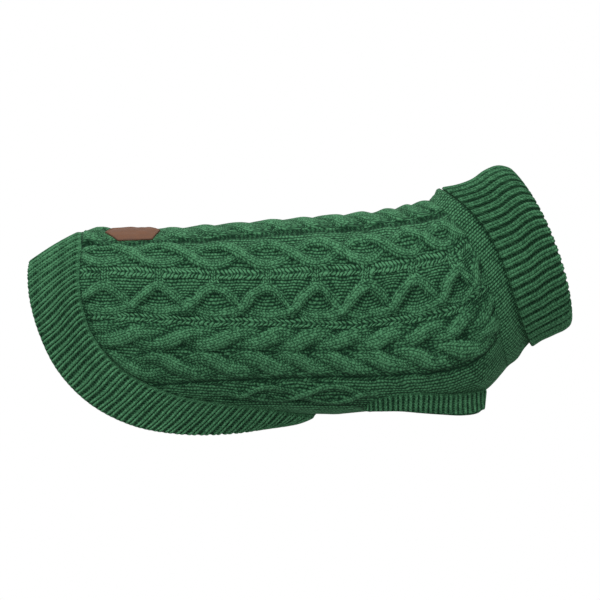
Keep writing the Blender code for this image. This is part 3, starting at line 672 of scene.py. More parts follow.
def makeBackPanel(material):
    cloth, girth = Cloth(), bodySet["girthHalf"]
    station, wale = backGrid(backSet["rows"], backSet["columns"])
    side = np.abs(wale)
    ahead, sideways = (backSet["wander"] * softNoise(station.shape, 8, seed) for seed in (1, 2))
    zones = backZones(station + backSet["wanderAlong"] * ahead, side + sideways / girth)
    height, picked = faceZones(zones)
    # how far each point is from the seams
    slope = (hemStation(side + 0.002) - hemStation(side - 0.002)) / 0.004
    fromHem = (station - hemStation(wale)) / np.sqrt(1 + (slope / girth) ** 2)
    fromSide = (borderWale(station, "back") - side) * girth
    fromNeck = bodySet["neckStation"] - station
    fade = softStep(np.minimum(np.minimum(fromHem, fromSide), fromNeck), 0.0, patternSet["fade"])
    atNeck = 1 - softStep(fromNeck, 0.0, backSet["neckFade"])
    fade = np.maximum(fade, backSet["neckRelief"] * atNeck * softStep(fromSide, 0.0, patternSet["fade"]))
    press = labelPress(station, wale)
    height = height * fade * (1 - press) + labelSet["pressed"] * press
    # painted shade in the hollows, by the seams and in the creases, and painted light on the crests
    seamShade = backSet["seamShade"] + backSet["upperSeamShade"] * (1 - softStep(side, 0.45, 0.62))
    seamShade = (seamShade + backSet["seamMottle"] * softNoise(side.shape, 6, 9)) * (1 - atNeck)
    hollow = np.clip((blurred(height, 2) - height) / 2.0, -0.6, 1)
    hollowShade = backSet["hollowShade"] - backSet["spineHollow"] * (1 - softStep(side, 0.28, 0.36))
    shade = np.clip(hollow, 0, 1) * hollowShade + np.clip(-hollow, 0, 1) * backSet["crestLight"]
    crease = creaseDepth(station, wale)
    shade = shade + (1 - fade) * seamShade + backSet["creaseShade"] * crease
    uneven = waviness(height.shape, backSet["uneven"])
    rise = height + uneven * fade - crease * np.maximum(fade, 0.3)
    out = bodySet["wall"] + rise - backSet["seamSink"] * (1 - fade)
    outer = cloth.addPoints(onTorso(station, wale, out))
    # the tone loses the painted shade, and the cloth's bulges get a little painted light
    tone = np.clip(picked["tone"] - fourCorners(shade) + 0.02 * fourCorners(uneven), 0.02, 1)
    holes = picked["holes"] * fourCorners(fade)
    cloth.addQuads(outer, picked["u"], picked["v"], picked["contrast"], tone, holes, picked["purl"])
    addLining(cloth, outer, *backGrid(backSet["rows"] // 3, backSet["columns"] // 3))
    return cloth.finish("backPanelCloth", material)


bellySet = {
    "rows": 130,
    "columns": 56,
    "uneven": [(0.18, 7, 5), (0.3, 20, 6)],  # height, cell and seed of the cloth's waviness
    "creaseShare": 0.6,  # how deep the creases are here, against the back panel
    "seamSink": 0.3,
    "tone": 0.62,
    # painted shade by the seams and in the creases
    "seamShade": 0.05,
    "creaseShade": 0.15,
}


def bellyGrid(rows, columns):
    share = np.linspace(-1, 1, columns + 1)
    start = 0 * share
    for _ in range(30):  # closes in on where the side seams meet the hem seam
        start = hemStation(1 + (1 - borderWale(start, "belly")) * share)
    t = np.linspace(0, 1, rows + 1)[:, None]
    station = start[None, :] + (bodySet["neckStation"] - start[None, :]) * t
    wale = 1 + share[None, :] * (1 - borderWale(station, "belly") - bodySet["sideGap"])
    return station, wale


def makeBellyPanel(material):
    cloth, girth = Cloth(), bodySet["girthHalf"]
    station, wale = bellyGrid(bellySet["rows"], bellySet["columns"])
    side = 1 - np.abs(1 - wale)
    fromSeam = np.minimum((side - borderWale(station, "belly")) * girth, station - hemStation(wale))
    fade = softStep(fromSeam, 0, patternSet["fade"])
    crease = creaseDepth(station, signedWale(wale))
    rise = waviness(station.shape, bellySet["uneven"]) * fade - bellySet["seamSink"] * (1 - fade)
    rise = rise - bellySet["creaseShare"] * crease
    outer = cloth.addPoints(onTorso(station, wale, bodySet["wall"] + rise))
    u = fourCorners(runAt(station, wale) / patternSet["stitchLong"])
    v = fourCorners(wale * girth / patternSet["rowWide"])
    # painted shade by the seams and in the creases
    tone = fourCorners(bellySet["seamShade"] * (1 - fade) + bellySet["creaseShade"] * crease)
    tone = bellySet["tone"] - tone
    cloth.addQuads(outer, u, v, 0.9, tone, 0.0, 1.0)
    addLining(cloth, outer, *bellyGrid(bellySet["rows"] // 2, bellySet["columns"] // 2))
    return cloth.finish("bellyPanelCloth", material)


# closed lines round the body
def loopShares(points):
    steps = np.linalg.norm(np.roll(points, -1, axis=0) - points, axis=1)
    return np.concatenate([[0], np.cumsum(steps)[:-1]]) / steps.sum()


def onLoop(points, shares):
    return between(np.vstack([points, points[:1]]), np.append(loopShares(points), 1.0), shares % 1)


def seamLine(neck):  # the torso's neck or hem seam on the outer face, from the spine round the left
    wales = np.linspace(0, 2, 641)[:-1]
    stations = np.full(len(wales), bodySet["neckStation"]) if neck else hemStation(wales)
    points = onTorso(stations, wales, bodySet["wall"] + 0 * wales)
    inside = onTorso(stations, wales, 0 * wales)
    away = unit(np.cross(nextToLast(points), unit(points - inside)))
    return points + bodySet["seamOverlap"] * away * (-1 if neck else 1)


# ribs: each is two rounded columns side by side, with a trough to the next rib
hemRib = {
    "height": 1.9,
    "columnAt": 0.200,
    "columnHalf": 0.165,
    # creaseHoles sets the painted shade in the ladder's gaps between a rib's two columns
    "creaseHoles": 0.9,  # how dark the ladder is between a rib's two columns
    "stitchLong": 2.3,
    "contrast": 0.42,
    "tone": 0.78,
    # painted shade in the troughs between ribs, and where the ribs stand low, as by the seam
    "troughShade": 0.30,
    "startShade": 0.14,
}
collarRib = dict(
    hemRib, height=2.35, columnAt=0.165, columnHalf=0.195, creaseHoles=0.2,
    tone=0.635, troughShade=0.22, startShade=0.35,
)
cuffRib = dict(hemRib, height=1.2, columnAt=0.24, tone=0.65)


def ribShares(band):  # each column of points, in shares of the round and in ribs
    count = band["ribs"] * band["columnsPerRib"]
    shares = np.arange(count) / count
    return shares, shares * band["ribs"]


def ribStand(across, band):  # ribs rise from the seam and flatten a little at the free edge
    start, flatter, last = band["ribEnds"]
    return softStep(across, 0, start) * (1 - flatter * softStep(across, last, 1.0))


def ribProfile(phase, rib):
    p = np.abs((phase + 0.5) % 1 - 0.5)
    return np.clip(1 - ((p - rib["columnAt"]) / rib["columnHalf"]) ** 2, 0, 1) ** 0.5


def ribStitches(phase, rib):  # the stitch columns across a rib, and the ladder in its trough
    p = (phase + 0.5) % 1 - 0.5
    onRib = np.sign(p) * ((np.abs(p) - rib["columnAt"]) / (2 * rib["columnHalf"]) + 0.5)
    trough = rib["columnAt"] + 0.8 * rib["columnHalf"]
    inTrough = np.where(p > 0, p - 0.5, p + 0.5) / (2 * (0.5 - trough)) + 0.5
    return np.where(np.abs(p) < trough, onRib, inTrough + 10)


def ribShade(base, phase, rib, share):
    # stitch map and shade for the faces of a ribbed tube; share is how far the ribs stand there
    stands = np.clip(share, 0, 1)
    low = np.clip(1 - (ribProfile(phase, rib)[None, :] + 0 * share), 0, 1) * stands
    # painted shade in the troughs, and where the ribs stand low, as by the seam
    tone = rib["tone"] - rib["troughShade"] * low**1.4 - rib["startShade"] * (1 - stands)
    stitch = fourCorners(np.broadcast_to(ribStitches(phase, rib)[None, :], low.shape), True)
    p = (phase + np.append(phase[1:], phase[-1] + phase[1])) / 2
    p = np.abs((p + 0.5) % 1 - 0.5)
    # the ladder's gaps, which the material paints dark as shade
    inTrough = np.where(p > rib["columnAt"] + 0.7 * rib["columnHalf"], 1.0, 0.0)
    inCrease = np.where(p < 0.06, rib["creaseHoles"], 0.0)
    ladder = (inTrough + inCrease)[None, :] * np.clip(np.minimum(share[:-1], share[1:]), 0, 1)
    ladder = np.broadcast_to(ladder, (len(base) - 1, len(phase))).reshape(-1, 1)
    along = fourCorners(runAlong(base) / rib["stitchLong"], True)
    return along, unwrapped(stitch, 0.8), rib["contrast"], fourCorners(tone, True), ladder


def gridNormals(grid):  # normals of a grid that closes across
    return unit(np.cross(np.gradient(grid, axis=0), nextToLast(grid, 1)))


def addBand(cloth, base, normals, phase, share, rib, innerBase, thick, turn=1):
    # ribs on the outer side, from the seam down, and plain inside, from the free edge up; base is
    # rows by columns, share says how far the ribs stand in each row, turn -1 gives the mirror
    mirror, sides = (1, turn, 1), {"flip": turn < 0, "closed": True}
    profile = ribProfile(phase, rib)[None, :] * share[:, None] * rib["height"]
    outer = cloth.addPoints((base + normals * profile[..., None]) * mirror)
    cloth.addQuads(outer, *ribShade(base, phase, rib, share[:, None]), **sides)
    nearest = np.round(np.linspace(len(base) - 1, 0, len(innerBase))).astype(int)
    inner = cloth.addPoints((innerBase - normals[nearest] * thick[:, None, None]) * mirror)
    along = fourCorners(runAlong(innerBase) / 2.0, True)
    across = unwrapped(fourCorners(np.broadcast_to((phase * 3)[None, :], innerBase.shape[:2]), True), 3)
    cloth.addQuads(inner, along, across, 0.8, 0.42, 0.0, **sides)
    for pair in ((outer[-1:], inner[:1]), (inner[-1:], outer[:1])):
        cloth.addQuads(np.vstack(pair), 0.0, 0.0, 0.5, 0.35, 0.0, **sides)


hemSet = {
    "ribs": 76,
    "columnsPerRib": 12,
    "rows": 40,
    "innerRows": 8,
    "thick": 2.0,
    "edgeThick": 1.4,
    # by what share across they stand full, how much they flatten at the free edge, and from where
    "ribEnds": (0.10, 0.35, 0.96),
    "ribBend": 0.006,  # how far a rib bows towards the spine by the seam, in shares of the round
    "bendLess": (0.7, 0.11, 0.20),  # how much less it bows down the side, from where to where
    "ribWaver": 0.0010,
    # share of the round, how far a rib's free end moves towards the belly there
    "ribFans": [
        (0, 0), (0.08, 0.007), (0.16, 0.006), (0.26, 0.003), (0.33, 0.002), (0.40, 0.012),
        (0.45, 0.017), (0.5, 0),
    ],
    "bulge": 2.5,
    "topBulge": -1.2,
    # x, side, z of the free edge from the spine down the side to the belly
    "edge": [
        (-193, 0, -31), (-193.5, 24, -43), (-191, 41, -64), (-184, 49, -88), (-170, 52, -117),
        (-144, 51, -145), (-108, 46, -164), (-71, 38, -171), (-28, 25, -170.5), (-3, 12, -166.5),
        (11, 0, -163.5),
    ],
}


def hemEdge():
    half = np.array(hemSet["edge"], float)
    run = runAlong(half)
    fine = np.linspace(0, run[-1], 200)
    return bothSides(np.stack([smoothCurve(fine, run, column) for column in half.T], 1))


def hemRow(shares, across, seam, edge):
    start, end = onLoop(seam, shares), onLoop(edge, shares)
    outwards = facing(unit(np.cross(nextToLast(start), start - end)), start - start.mean(axis=0))
    bulge = hemSet["bulge"] + hemSet["topBulge"] * np.maximum(np.cos(2 * math.pi * shares), 0) ** 3
    return start + (end - start) * across + outwards * (4 * across * (1 - across) * bulge)[:, None]


def hemShares(shares, across):
    # ribs leave the seam square to it, then sweep back to the tail, and fan forward near the belly
    side = np.where(shares < 0.5, 1.0, -1.0)
    near = np.minimum(shares, 1 - shares)
    bend = hemSet["ribBend"] * np.sin(2 * math.pi * near) * 12.2 * across * (1 - across) ** 4
    less, top, low = hemSet["bendLess"]
    bend = bend * (1 - less * softStep(near, top, low))
    bend = bend + hemSet["ribWaver"] * np.sin(6 * across + 60 * near) * across
    return shares + side * (onTable(near, hemSet["ribFans"]) * across - bend)


def makeHemBand(material):
    cloth = Cloth()
    seam, edge = seamLine(False), hemEdge()
    shares, phase = ribShares(hemSet)
    acrosses = np.linspace(0, 1, hemSet["rows"] + 1)
    innerRows = np.linspace(1, 0, hemSet["innerRows"] + 1)
    base, innerBase = (
        np.array([hemRow(hemShares(shares, a), a, seam, edge) for a in places])
        for places in (acrosses, innerRows)
    )
    normals = facing(gridNormals(base), base - base.mean(axis=(0, 1)))
    thick = np.where(innerRows == 1, hemSet["edgeThick"], hemSet["thick"])
    addBand(cloth, base, normals, phase, ribStand(acrosses, hemSet), hemRib, innerBase, thick)
    return cloth.finish("hemBandCloth", material)


collarSet = {
    "ribs": 46,
    "columnsPerRib": 12,
    "tubeRows": 157,
    "ribSkew": 0.021,  # how far the ribs lean round towards the top by the fold
    "layerThick": 1.6,
    "layerGap": 0.9,
    "foldDip": 0.32,  # how far the troughs draw back from the fold, in rings
    "tubeBulge": 1.3,
    "tubeRib": 0.35,  # how far the ribs show through the neck tube
    "topRoll": 4.4,
    "lip": 0.8,
    "tubeTone": 0.55,
    # painted shadow under the collar's free edge
    "tubeShade": 0.28,  # darker under the free edge
    # topX, topZ, bottomX, bottomZ, halfWidth, bow, skew: the folded layer, free edge to fold
    "rings": [
        (144.5, 30.6, 219.0, -100.5, 50.5, 13.5, 0.9),
        (157.5, 33.0, 226.5, -95.5, 50.5, 13.0, 0.8),
        (169.5, 37.5, 233.0, -92.5, 50.5, 12.5, 0.7),
        (179.5, 44.5, 239.5, -89.5, 50.0, 12.0, 0.6),
        (190.0, 48.5, 245.0, -87.0, 49.5, 11.0, 0.5),
        (199.5, 47.0, 250.0, -83.0, 48.0, 9.2, 0.25),
        (205.5, 42.5, 252.2, -78.0, 46.0, 9.2, 0.12),
    ],
    # ring, depth in mm: round the fold, then along its inner side
    "foldOutside": [(5.5, 0.1), (5.7, 0.3), (5.86, 0.6), (5.95, 1.1), (6.0, 1.8), (6.0, 2.7)],
    "foldInside": [(5.96, 4.2), (5.85, 5.4), (5.6, 6.2), (5.2, 6.7)],
}


def collarRing(place, shares, inwards):
    table = np.array(collarSet["rings"], float)
    sizes = [smoothCurve(place, np.arange(len(table)), column) for column in table.T]
    topX, topZ, bottomX, bottomZ = sizes[:4]
    loop = bothSides(halfRing(sizes[:6] + [bodySet["topSquare"], sizes[6]], halfAngles))
    row = onLoop(loop, shares)
    axis = unit(np.cross(np.array([topX - bottomX, 0, topZ - bottomZ]), (0, -1, 0)))
    inside = unit(np.cross(onLoop(loop, shares + 0.004) - onLoop(loop, shares - 0.004), axis))
    return row + facing(inside, row.mean(axis=0) - row) * np.reshape(inwards, (-1, 1))


def makeCollar(material):
    # one closed wall in a U: neck tube outside, under the fold, the folded layer, the inside
    cloth = Cloth()
    seam = seamLine(True)
    shares, phase = ribShares(collarSet)
    rib = ribProfile(phase, collarRib)
    trough = collarRib["height"] * (1 - rib)
    layerInside = collarRib["height"] + collarSet["layerThick"]
    tubeOutside = collarSet["layerThick"] + bodySet["wall"] + collarSet["layerGap"]
    tubeInside = tubeOutside + bodySet["wall"]

    def ring(place, inwards, dip=0.0):  # dip draws the troughs back from the fold
        lean = collarSet["ribSkew"] * np.sin(2 * math.pi * shares) * place / 6
        there = collarRing(place, shares - lean, inwards)
        if not dip:
            return there
        back = collarRing(place - dip, shares - lean, inwards)
        return there + (back - there) * (1 - rib)[:, None]

    def tube(blend, out):
        start = onLoop(seam, shares)
        end = ring(0.0, tubeOutside)
        row = start + (end - start) * blend
        normal = facing(unit(np.cross(nextToLast(row), end - start)), row - row.mean(axis=0))
        return row + normal * np.reshape(out, (-1, 1))

    rows = []  # each with how far the ribs stand there
    atTop = np.maximum(np.cos(2 * math.pi * shares), 0) ** 3
    tubeBlends = np.linspace(0, 0.96, 22)
    for blend in tubeBlends:  # the neck tube that shows, rolled up against the free edge at the top
        bulge = collarSet["tubeBulge"] * math.sin(math.pi * min(blend / 0.8, 1)) ** 2 + 0.5 * (1 - blend)
        roll = collarSet["topRoll"] * atTop * swell(blend, 0.35, 0.74, 0.84, 1.04)
        ribs = collarSet["tubeRib"] * rib * softStep(blend, 0, 0.3)
        rows.append((tube(blend, bulge + roll + ribs), 0.65))
    for place in np.linspace(0.25, 4.7, 6):
        rows.append((ring(place, tubeOutside if place < 4 else (layerInside + tubeOutside) / 2), 0.0))
    for place in np.linspace(3.8, 0.04, 5):
        rows.append((ring(place, layerInside), 0.0))
    for place in np.concatenate([[0.0, 0.03, 0.08], np.linspace(0.16, 5.3, 62)]):  # the folded layer
        lip = collarSet["lip"] * (1 - softStep(place, 0, 0.14))
        rows.append((ring(place, lip + trough, collarSet["foldDip"] * softStep(place, 4.6, 5.3)), 1.0))
    for place, depth in collarSet["foldOutside"]:
        rows.append((ring(place, depth + 0.95 * trough, collarSet["foldDip"]), 1.0))
    for place, depth in collarSet["foldInside"]:
        rows.append((ring(place, depth + 0.7 * (rib - 0.5), 0.25), 0.8))
    for place in np.linspace(4.7, 0.4, 16):
        rows.append((ring(place, tubeInside + 0.8 * (rib - 0.5)), 0.8))
    for blend in np.linspace(0.8, 0.0, 6):
        rows.append((tube(blend, -2.0 + 0.3 * rib * blend), 0.5))
    numbers = cloth.addPoints(np.array([row for row, stand in rows]))
    numbers = np.vstack([numbers, numbers[:1]])
    base = np.array([row for row, stand in rows + rows[:1]])
    share = np.array([stand for row, stand in rows + rows[:1]])[:, None]
    # purl rows on the tube, ribs on the rest
    turned = len(tubeBlends)
    along = fourCorners(runAlong(base[:turned]) / patternSet["stitchLong"], True)
    across = fourCorners(np.broadcast_to(shares * collarSet["tubeRows"], base[:turned].shape[:2]), True)
    across = np.where(across[:, :1] - across > 3, across + collarSet["tubeRows"], across)
    # painted shadow on the tube under the collar's free edge
    tone = collarSet["tubeTone"] - collarSet["tubeShade"] * softStep(tubeBlends, 0.72, 0.92)[:, None]
    tone = fourCorners(tone + 0 * rib, True)
    cloth.addQuads(numbers[:turned], along, across, 0.9, tone, 0.0, 1.0, closed=True)
    layer = ribShade(base[turned - 1:], phase, collarRib, share[turned - 1:])
    cloth.addQuads(numbers[turned - 1:], *layer, closed=True)
    return cloth.finish("collarCloth", material)


cuffSet = {
    "ribs": 26,
    "columnsPerRib": 12,
    "rows": 18,
    "innerRows": 5,
    "thick": 1.8,
    "ribEnds": (0.2, 0.4, 0.93),
    "out": 1.6,  # where a cuff starts: this far out from the body's inner face
    "overlap": 0.8,  # and this far over the edge of the leg hole
    "centre": (130.5, 29.0),
    "halfLength": 48.0,
    "halfWidth": 13.0,
    "square": 3.0,
    "frontShare": 0.495,  # where the free edge meets the front of the leg hole, as a share round it
    # x and z along the free edge
    "edge": [
        (82, -152.8), (90, -152.8), (112, -152.8), (125, -153.9), (145, -154.8), (163, -154.9),
        (172, -153.6), (179, -151),
    ],
}


def legHole():  # the line where a cuff starts, and the share of the round at the hole's front
    stations = np.linspace(bodySet["legRear"], bodySet["legFront"], 41)
    outside = [(s, -borderWale(s, "back")) for s in stations]
    inside = [(s, -borderWale(s, "belly")) for s in stations[-2:0:-1]]
    station, wale = np.array(outside + inside).T
    points = onTorso(station, wale, cuffSet["out"] + 0 * station)
    lower = onTorso(station, wale, cuffSet["out"] - 1 + 0 * station)
    away = unit(np.cross(points - lower, nextToLast(points)))
    away = facing(away, points.mean(axis=0) - points)
    return points - away * cuffSet["overlap"], loopShares(points)[len(outside) - 1]


def cuffEdge(shares):
    angles = np.linspace(0, 2 * math.pi, 201)[:-1]
    across, along = np.sin(angles), -np.cos(angles)
    power = 2 / cuffSet["square"]
    x = cuffSet["centre"][0] + cuffSet["halfLength"] * np.sign(along) * np.abs(along) ** power
    y = -cuffSet["centre"][1] - cuffSet["halfWidth"] * np.sign(across) * np.abs(across) ** power
    return onLoop(np.stack([x, y, onTable(x, cuffSet["edge"])], 1), shares)


def makeCuff(name, turn, material):  # turn is 1 for the right leg, -1 for its mirror on the left
    cloth = Cloth()
    hole, frontShare = legHole()
    shares, phase = ribShares(cuffSet)
    start = onLoop(hole, shares)
    end = cuffEdge(np.interp(shares, (0, frontShare, 1), (0, cuffSet["frontShare"], 1)))
    acrosses = np.linspace(0, 1, cuffSet["rows"] + 1)
    innerRows = np.linspace(1, 0, cuffSet["innerRows"] + 1)
    base, innerBase = (start + (end - start) * places[:, None, None] for places in (acrosses, innerRows))
    normals = gridNormals(base)
    normals[:3] = normals[3]
    normals = facing(normals, base - base.mean(axis=1, keepdims=True))
    normals = unit(normals + np.roll(normals, 4, axis=1) + np.roll(normals, -4, axis=1))
    thick = np.full(len(innerRows), cuffSet["thick"])
    addBand(cloth, base, normals, phase, ribStand(acrosses, cuffSet), cuffRib, innerBase, thick, turn)
    return cloth.finish(name, material)


labelSet = {
    "rows": 60,
    "columns": 44,
    "station": -108.0,
    "arc": -15.5,  # mm round from the spine, on the right
    "girthShare": 0.985,  # the cloth is this much shorter round under the label than outside
    "halfLength": 22.5,
    "halfFlat": 14.0,
    "halfHeight": 14.2,
    "pressHeight": 15.0,  # half of what it presses flat, across
    "pressed": 0.2,  # mm of the relief that stays under it
    "lean": 0.16,
    "thick": 1.4,
    "low": 2.3,
    "rounding": 0.55,
    "groove": (0.22, 2.4, 0.45),  # depth, distance from the edge, half width
    "curl": 0.35,
    "tone": 0.55,
    "edgeShade": 0.3,
}


def labelPress(station, wale):  # 1 under the leather label
    arc = wale * bodySet["girthHalf"] * labelSet["girthShare"]
    along = np.abs(station - labelSet["station"]) - labelSet["halfLength"]
    across = np.abs(arc - labelSet["arc"]) - labelSet["pressHeight"]
    return 1 - softStep(np.maximum(along, across), 1.0, 6.0)


def makeLabel(material):
    cloth, size = Cloth(), labelSet
    along, across = (np.linspace(-1, 1, size[name] + 1) for name in ("rows", "columns"))
    along, across = (np.sign(t) * (1 - (1 - np.abs(t)) ** 1.15) for t in (along, across))
    x = along * size["halfLength"]
    fromTip = size["halfLength"] - np.abs(x)
    flat = np.clip(fromTip / (size["halfLength"] - size["halfFlat"]), 0.02, 1)
    arcs = size["arc"] + size["halfHeight"] * flat[:, None] * across[None, :]
    stations = size["station"] + x[:, None] - size["lean"] * (arcs - size["arc"])
    wales = arcs / (bodySet["girthHalf"] * size["girthShare"])
    inwards = np.minimum(
        fromTip[:, None] * 0.85 + 0 * arcs,
        size["halfHeight"] * flat[:, None] * (1 - np.abs(across))[None, :],
    )
    rounded = size["rounding"] * (1 - np.clip(inwards / 0.9, 0, 1)) ** 2
    depth, where, width = size["groove"]
    groove = depth * np.exp(-(((inwards - where) / width) ** 2))
    curl = size["curl"] * softNoise(arcs.shape, 14, 9)
    edge = np.clip(1 - inwards / 1.6, 0, 1)
    u, v = fourCorners(stations), fourCorners(arcs)
    top = cloth.addPoints(onTorso(stations, wales, size["low"] + size["thick"] - rounded - groove + curl))
    cloth.addQuads(top, u, v, 0.7, fourCorners(size["tone"] - size["edgeShade"] * edge), fourCorners(edge))
    under = cloth.addPoints(onTorso(stations, wales, size["low"] + 0.15 + curl))
    cloth.addQuads(under, u, v, 0.7, 0.3, 0.0, flip=True)
    cloth.joinSides(top, under)
    return cloth.finish("labelLeather", material)


# materials
def feed(tree, node, inputs):  # numbers, colours or other nodes' outputs, by the input's name or number
    for name, value in inputs.items():
        if isinstance(value, bpy.types.NodeSocket):
            tree.links.new(value, node.inputs[name])
        else:
            node.inputs[name].default_value = value


def newNode(tree, kind, inputs, **settings):
    node = tree.nodes.new("ShaderNode" + kind)
    for name, value in settings.items():
        setattr(node, name, value)
    feed(tree, node, inputs)
    return node


def mathNode(tree, kind, *values, clamp=False):
    return newNode(tree, "Math", dict(enumerate(values)), operation=kind, use_clamp=clamp).outputs[0]


def noiseNode(tree, vector, scale, detail=2.0, rough=0.5):
    inputs = {"Vector": vector, "Scale": scale, "Detail": detail, "Roughness": rough}
    return newNode(tree, "TexNoise", inputs).outputs["Fac"]


def rampNode(tree, level, stops):  # stops are places along the ramp and their colours
    node = newNode(tree, "ValToRGB", {0: level})
    elements = node.color_ramp.elements
    while len(elements) < len(stops):
        elements.new(0.5)
    for element, (place, colour) in zip(elements, stops):
        element.position = place
        element.color = (*colour, 1)
    return node.outputs[0]


def newMaterial(name):  # with the shade that a piece's corners carry, and the place on the piece
    material = bpy.data.materials.new(name)
    material.use_nodes = True
    tree = material.node_tree
    shade = newNode(tree, "Attribute", {}, attribute_name="shade")
    parts = newNode(tree, "SeparateColor", {0: shade.outputs["Color"]})
    place = newNode(tree, "TexCoord", {}).outputs["Object"]
    return material, tree, [*parts.outputs, shade.outputs["Alpha"]], place


knitSet = {
    "bright": (0.088, 0.268, 0.130),
    "mid": (0.034, 0.124, 0.056),
    "dark": (0.0030, 0.024, 0.010),
    "rampPlaces": (0.08, 0.52, 0.98),
    "bump": 0.0010,
    "vSlant": 1.25,
    "wobbleScale": 320.0,
    "patchScale": 45.0,
    "fibreScale": 2600.0,
    # what each stitch's own shade, slow patches and the fibres add to the tone: share and shift
    "cell": (0.40, -0.22),
    "patch": (0.30, -0.15),
    "fibre": (0.42, -0.21),
    # groove: how strongly each stitch's height paints shade in its grooves and light on its top
    "groove": 1.3,
    # how much painted shade darkens the holes
    "holeShade": 0.5,
}


def makeKnitMaterial(name, lightness):
    material, tree, (contrast, tone, holes, purled), place = newMaterial(name)

    def maths(kind, *values, clamp=False):
        return mathNode(tree, kind, *values, clamp=clamp)

    def sine(value, turns):
        return maths("SINE", maths("MULTIPLY", value, turns * math.pi))

    wobble = maths("MULTIPLY_ADD", noiseNode(tree, place, knitSet["wobbleScale"], 1.0), 1.0, -0.5)
    stitchMap = newNode(tree, "UVMap", {}, uv_map="stitch").outputs[0]
    split = newNode(tree, "SeparateXYZ", {0: stitchMap})
    u = maths("ADD", split.outputs[0], wobble)
    v = maths("MULTIPLY_ADD", wobble, 0.35, split.outputs[1])
    # a knit stitch has two slanted legs
    offV = maths("ABSOLUTE", maths("SUBTRACT", maths("FRACT", v), 0.5))
    slanted = maths("MULTIPLY_ADD", offV, knitSet["vSlant"], u)
    leg = maths("POWER", sine(maths("FRACT", slanted), 1), 0.6)
    spare = maths("MULTIPLY_ADD", offV, -0.9, 0.45)
    column = maths("MAXIMUM", maths("MAXIMUM", sine(offV, 2), spare), 0.0)
    knit = maths("MULTIPLY", leg, maths("POWER", column, 0.7))
    # a purl bump is a short dash along its row
    dash = sine(maths("MULTIPLY_ADD", maths("FLOOR", v), 0.37, u), 2)
    dash = maths("MULTIPLY_ADD", dash, 0.26, 0.78)
    purl = maths("MULTIPLY", dash, maths("POWER", sine(maths("FRACT", v), 1), 0.8))
    stitch = newNode(tree, "Mix", {0: purled, 2: knit, 3: purl}).outputs[0]
    # holes between the courses of a ladder row, painted dark as shade
    hole = maths("MULTIPLY_ADD", sine(u, 2), 1.2, 0.3, clamp=True)
    hole = maths("MULTIPLY", hole, holes, clamp=True)
    # each stitch is a little lighter or darker
    cellAt = {0: maths("FLOOR", slanted), 1: maths("FLOOR", maths("MULTIPLY", v, 2.0))}
    cellAt = newNode(tree, "CombineXYZ", cellAt).outputs[0]
    cell = newNode(tree, "TexWhiteNoise", {}, noise_dimensions="2D")
    feed(tree, cell, {"Vector": cellAt})
    patch = noiseNode(tree, place, knitSet["patchScale"], 3.0)
    fibre = noiseNode(tree, place, knitSet["fibreScale"], 2.0, 0.7)
    level = maths("MULTIPLY_ADD", cell.outputs["Value"], *knitSet["cell"])
    level = maths("ADD", level, maths("MULTIPLY_ADD", patch, *knitSet["patch"]))
    level = maths("ADD", level, maths("MULTIPLY_ADD", fibre, *knitSet["fibre"]))
    # painted shade in the grooves between the stitches, painted light on their tops
    groove = maths("MULTIPLY", maths("SUBTRACT", stitch, 0.55), contrast)
    level = maths("ADD", level, maths("MULTIPLY", groove, knitSet["groove"]))
    level = maths("ADD", maths("ADD", level, tone), lightness)
    # painted shade in the holes
    level = maths("SUBTRACT", level, maths("MULTIPLY", hole, knitSet["holeShade"]), clamp=True)
    stops = list(zip(knitSet["rampPlaces"], (knitSet["dark"], knitSet["mid"], knitSet["bright"])))
    height = maths("SUBTRACT", maths("MULTIPLY", stitch, contrast), hole)
    height = maths("ADD", height, maths("MULTIPLY", fibre, 0.25))
    bump = newNode(tree, "Bump", {"Strength": 0.9, "Distance": knitSet["bump"], "Height": height})
    feed(tree, tree.nodes["Principled BSDF"], {
        "Base Color": rampNode(tree, level, stops),
        "Normal": bump.outputs[0],
        "Roughness": 0.92,
        "Specular IOR Level": 0.1,
        "Sheen Weight": 0.12,
        "Sheen Roughness": 0.6,
        "Sheen Tint": (0.35, 0.75, 0.45, 1),
    })
    return material


leatherSet = {"light": (0.222, 0.089, 0.036), "dark": (0.060, 0.021, 0.008), "bump": 0.0002}


def makeLeatherMaterial():
    material, tree, shade, place = newMaterial("brownLeather")
    patch = noiseNode(tree, place, 90.0, 4.0, 0.6)
    grain = newNode(tree, "TexVoronoi", {"Scale": 1400.0, "Vector": place}).outputs["Distance"]
    level = mathNode(tree, "ADD", mathNode(tree, "MULTIPLY_ADD", patch, 0.7, -0.35), shade[1])
    level = mathNode(tree, "SUBTRACT", level, mathNode(tree, "MULTIPLY", grain, 0.15), clamp=True)
    colour = newNode(tree, "Mix", {0: level}, data_type="RGBA")
    feed(tree, colour, {6: (*leatherSet["dark"], 1), 7: (*leatherSet["light"], 1)})
    height = mathNode(tree, "ADD", mathNode(tree, "MULTIPLY", grain, -0.6), patch)
    bump = newNode(tree, "Bump", {"Strength": 0.5, "Distance": leatherSet["bump"], "Height": height})
    feed(tree, tree.nodes["Principled BSDF"], {
        "Base Color": colour.outputs[2],
        "Roughness": mathNode(tree, "MULTIPLY_ADD", patch, 0.25, 0.55),
        "Normal": bump.outputs[0],
    })
    return material


greenKnit = makeKnitMaterial("greenKnit", 0.0)
greenRib = makeKnitMaterial("greenRib", -0.02)
brownLeather = makeLeatherMaterial()
print("materials made")

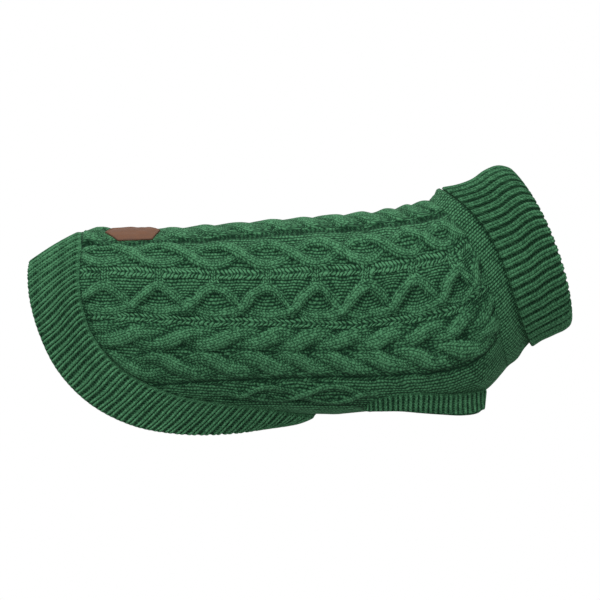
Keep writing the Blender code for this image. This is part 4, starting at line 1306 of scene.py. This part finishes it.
pieces = [
    (makeBackPanel(greenKnit), "back_panel", "green_knit", (0.356, 0.318), 0.092),
    (makeBellyPanel(greenKnit), "belly_panel", "green_knit", (0.067, 0.205), 0.0085),
    (makeCollar(greenRib), "collar", "green_rib", (0.385, 0.150), None),
    (makeHemBand(greenRib), "hem_band", "green_rib", (0.640, 0.048), None),
    (makeCuff("cuffRightCloth", 1, greenRib), "cuff_right", "green_rib", (0.205, 0.017), None),
    (makeCuff("cuffLeftCloth", -1, greenRib), "cuff_left", "green_rib", (0.205, 0.017), None),
    (makeLabel(brownLeather), "label", "brown_leather", (0.045, 0.030), None),
]
for piece, node, slotName, flat, area in pieces:
    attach(piece, "root")
    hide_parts(node)
print("pieces ride")


# the photo has no floor: a white surround, brighter above than below, and soft lamps
lightSet = {
    "horizon": 1.0,
    "above": 0.83,
    "below": 0.43,
    # how far up the surround each brightness stands, from straight down to straight up
    "stops": [(0.450, "below"), (0.472, "horizon"), (0.528, "horizon"), (0.550, "above")],
    # name, place in metres, size, power
    "lamps": [("topLamp", (-0.2, -1.0, 2.2), 1.0, 20.5), ("frontLamp", (-1.2, -2.6, 1.2), 1.0, 14.0)],
}


def makeLamp(name, place, size, power):
    light = bpy.data.lights.new(name, "AREA")
    light.size = size
    light.energy = power
    holder = addObject(name, light, place)
    aim = -holder.location
    aim.z += cameraSet["centreZ"] * mm
    holder.rotation_euler = aim.to_track_quat("-Z", "Y").to_euler()


def makeSky():
    world = bpy.data.worlds.new("studio")
    bpy.context.scene.world = world
    world.use_nodes = True
    tree = world.node_tree
    split = newNode(tree, "SeparateXYZ", {0: newNode(tree, "TexCoord", {}).outputs["Generated"]})
    level = mathNode(tree, "MULTIPLY_ADD", split.outputs[2], 0.5, 0.5)
    stops = [(place, (lightSet[name],) * 3) for place, name in lightSet["stops"]]
    feed(tree, tree.nodes["Background"], {0: rampNode(tree, level, stops), 1: 1.0})


makeSky()
for lamp in lightSet["lamps"]:
    makeLamp(*lamp)
bpy.context.scene.view_settings.view_transform = "Standard"
print("stage lit")
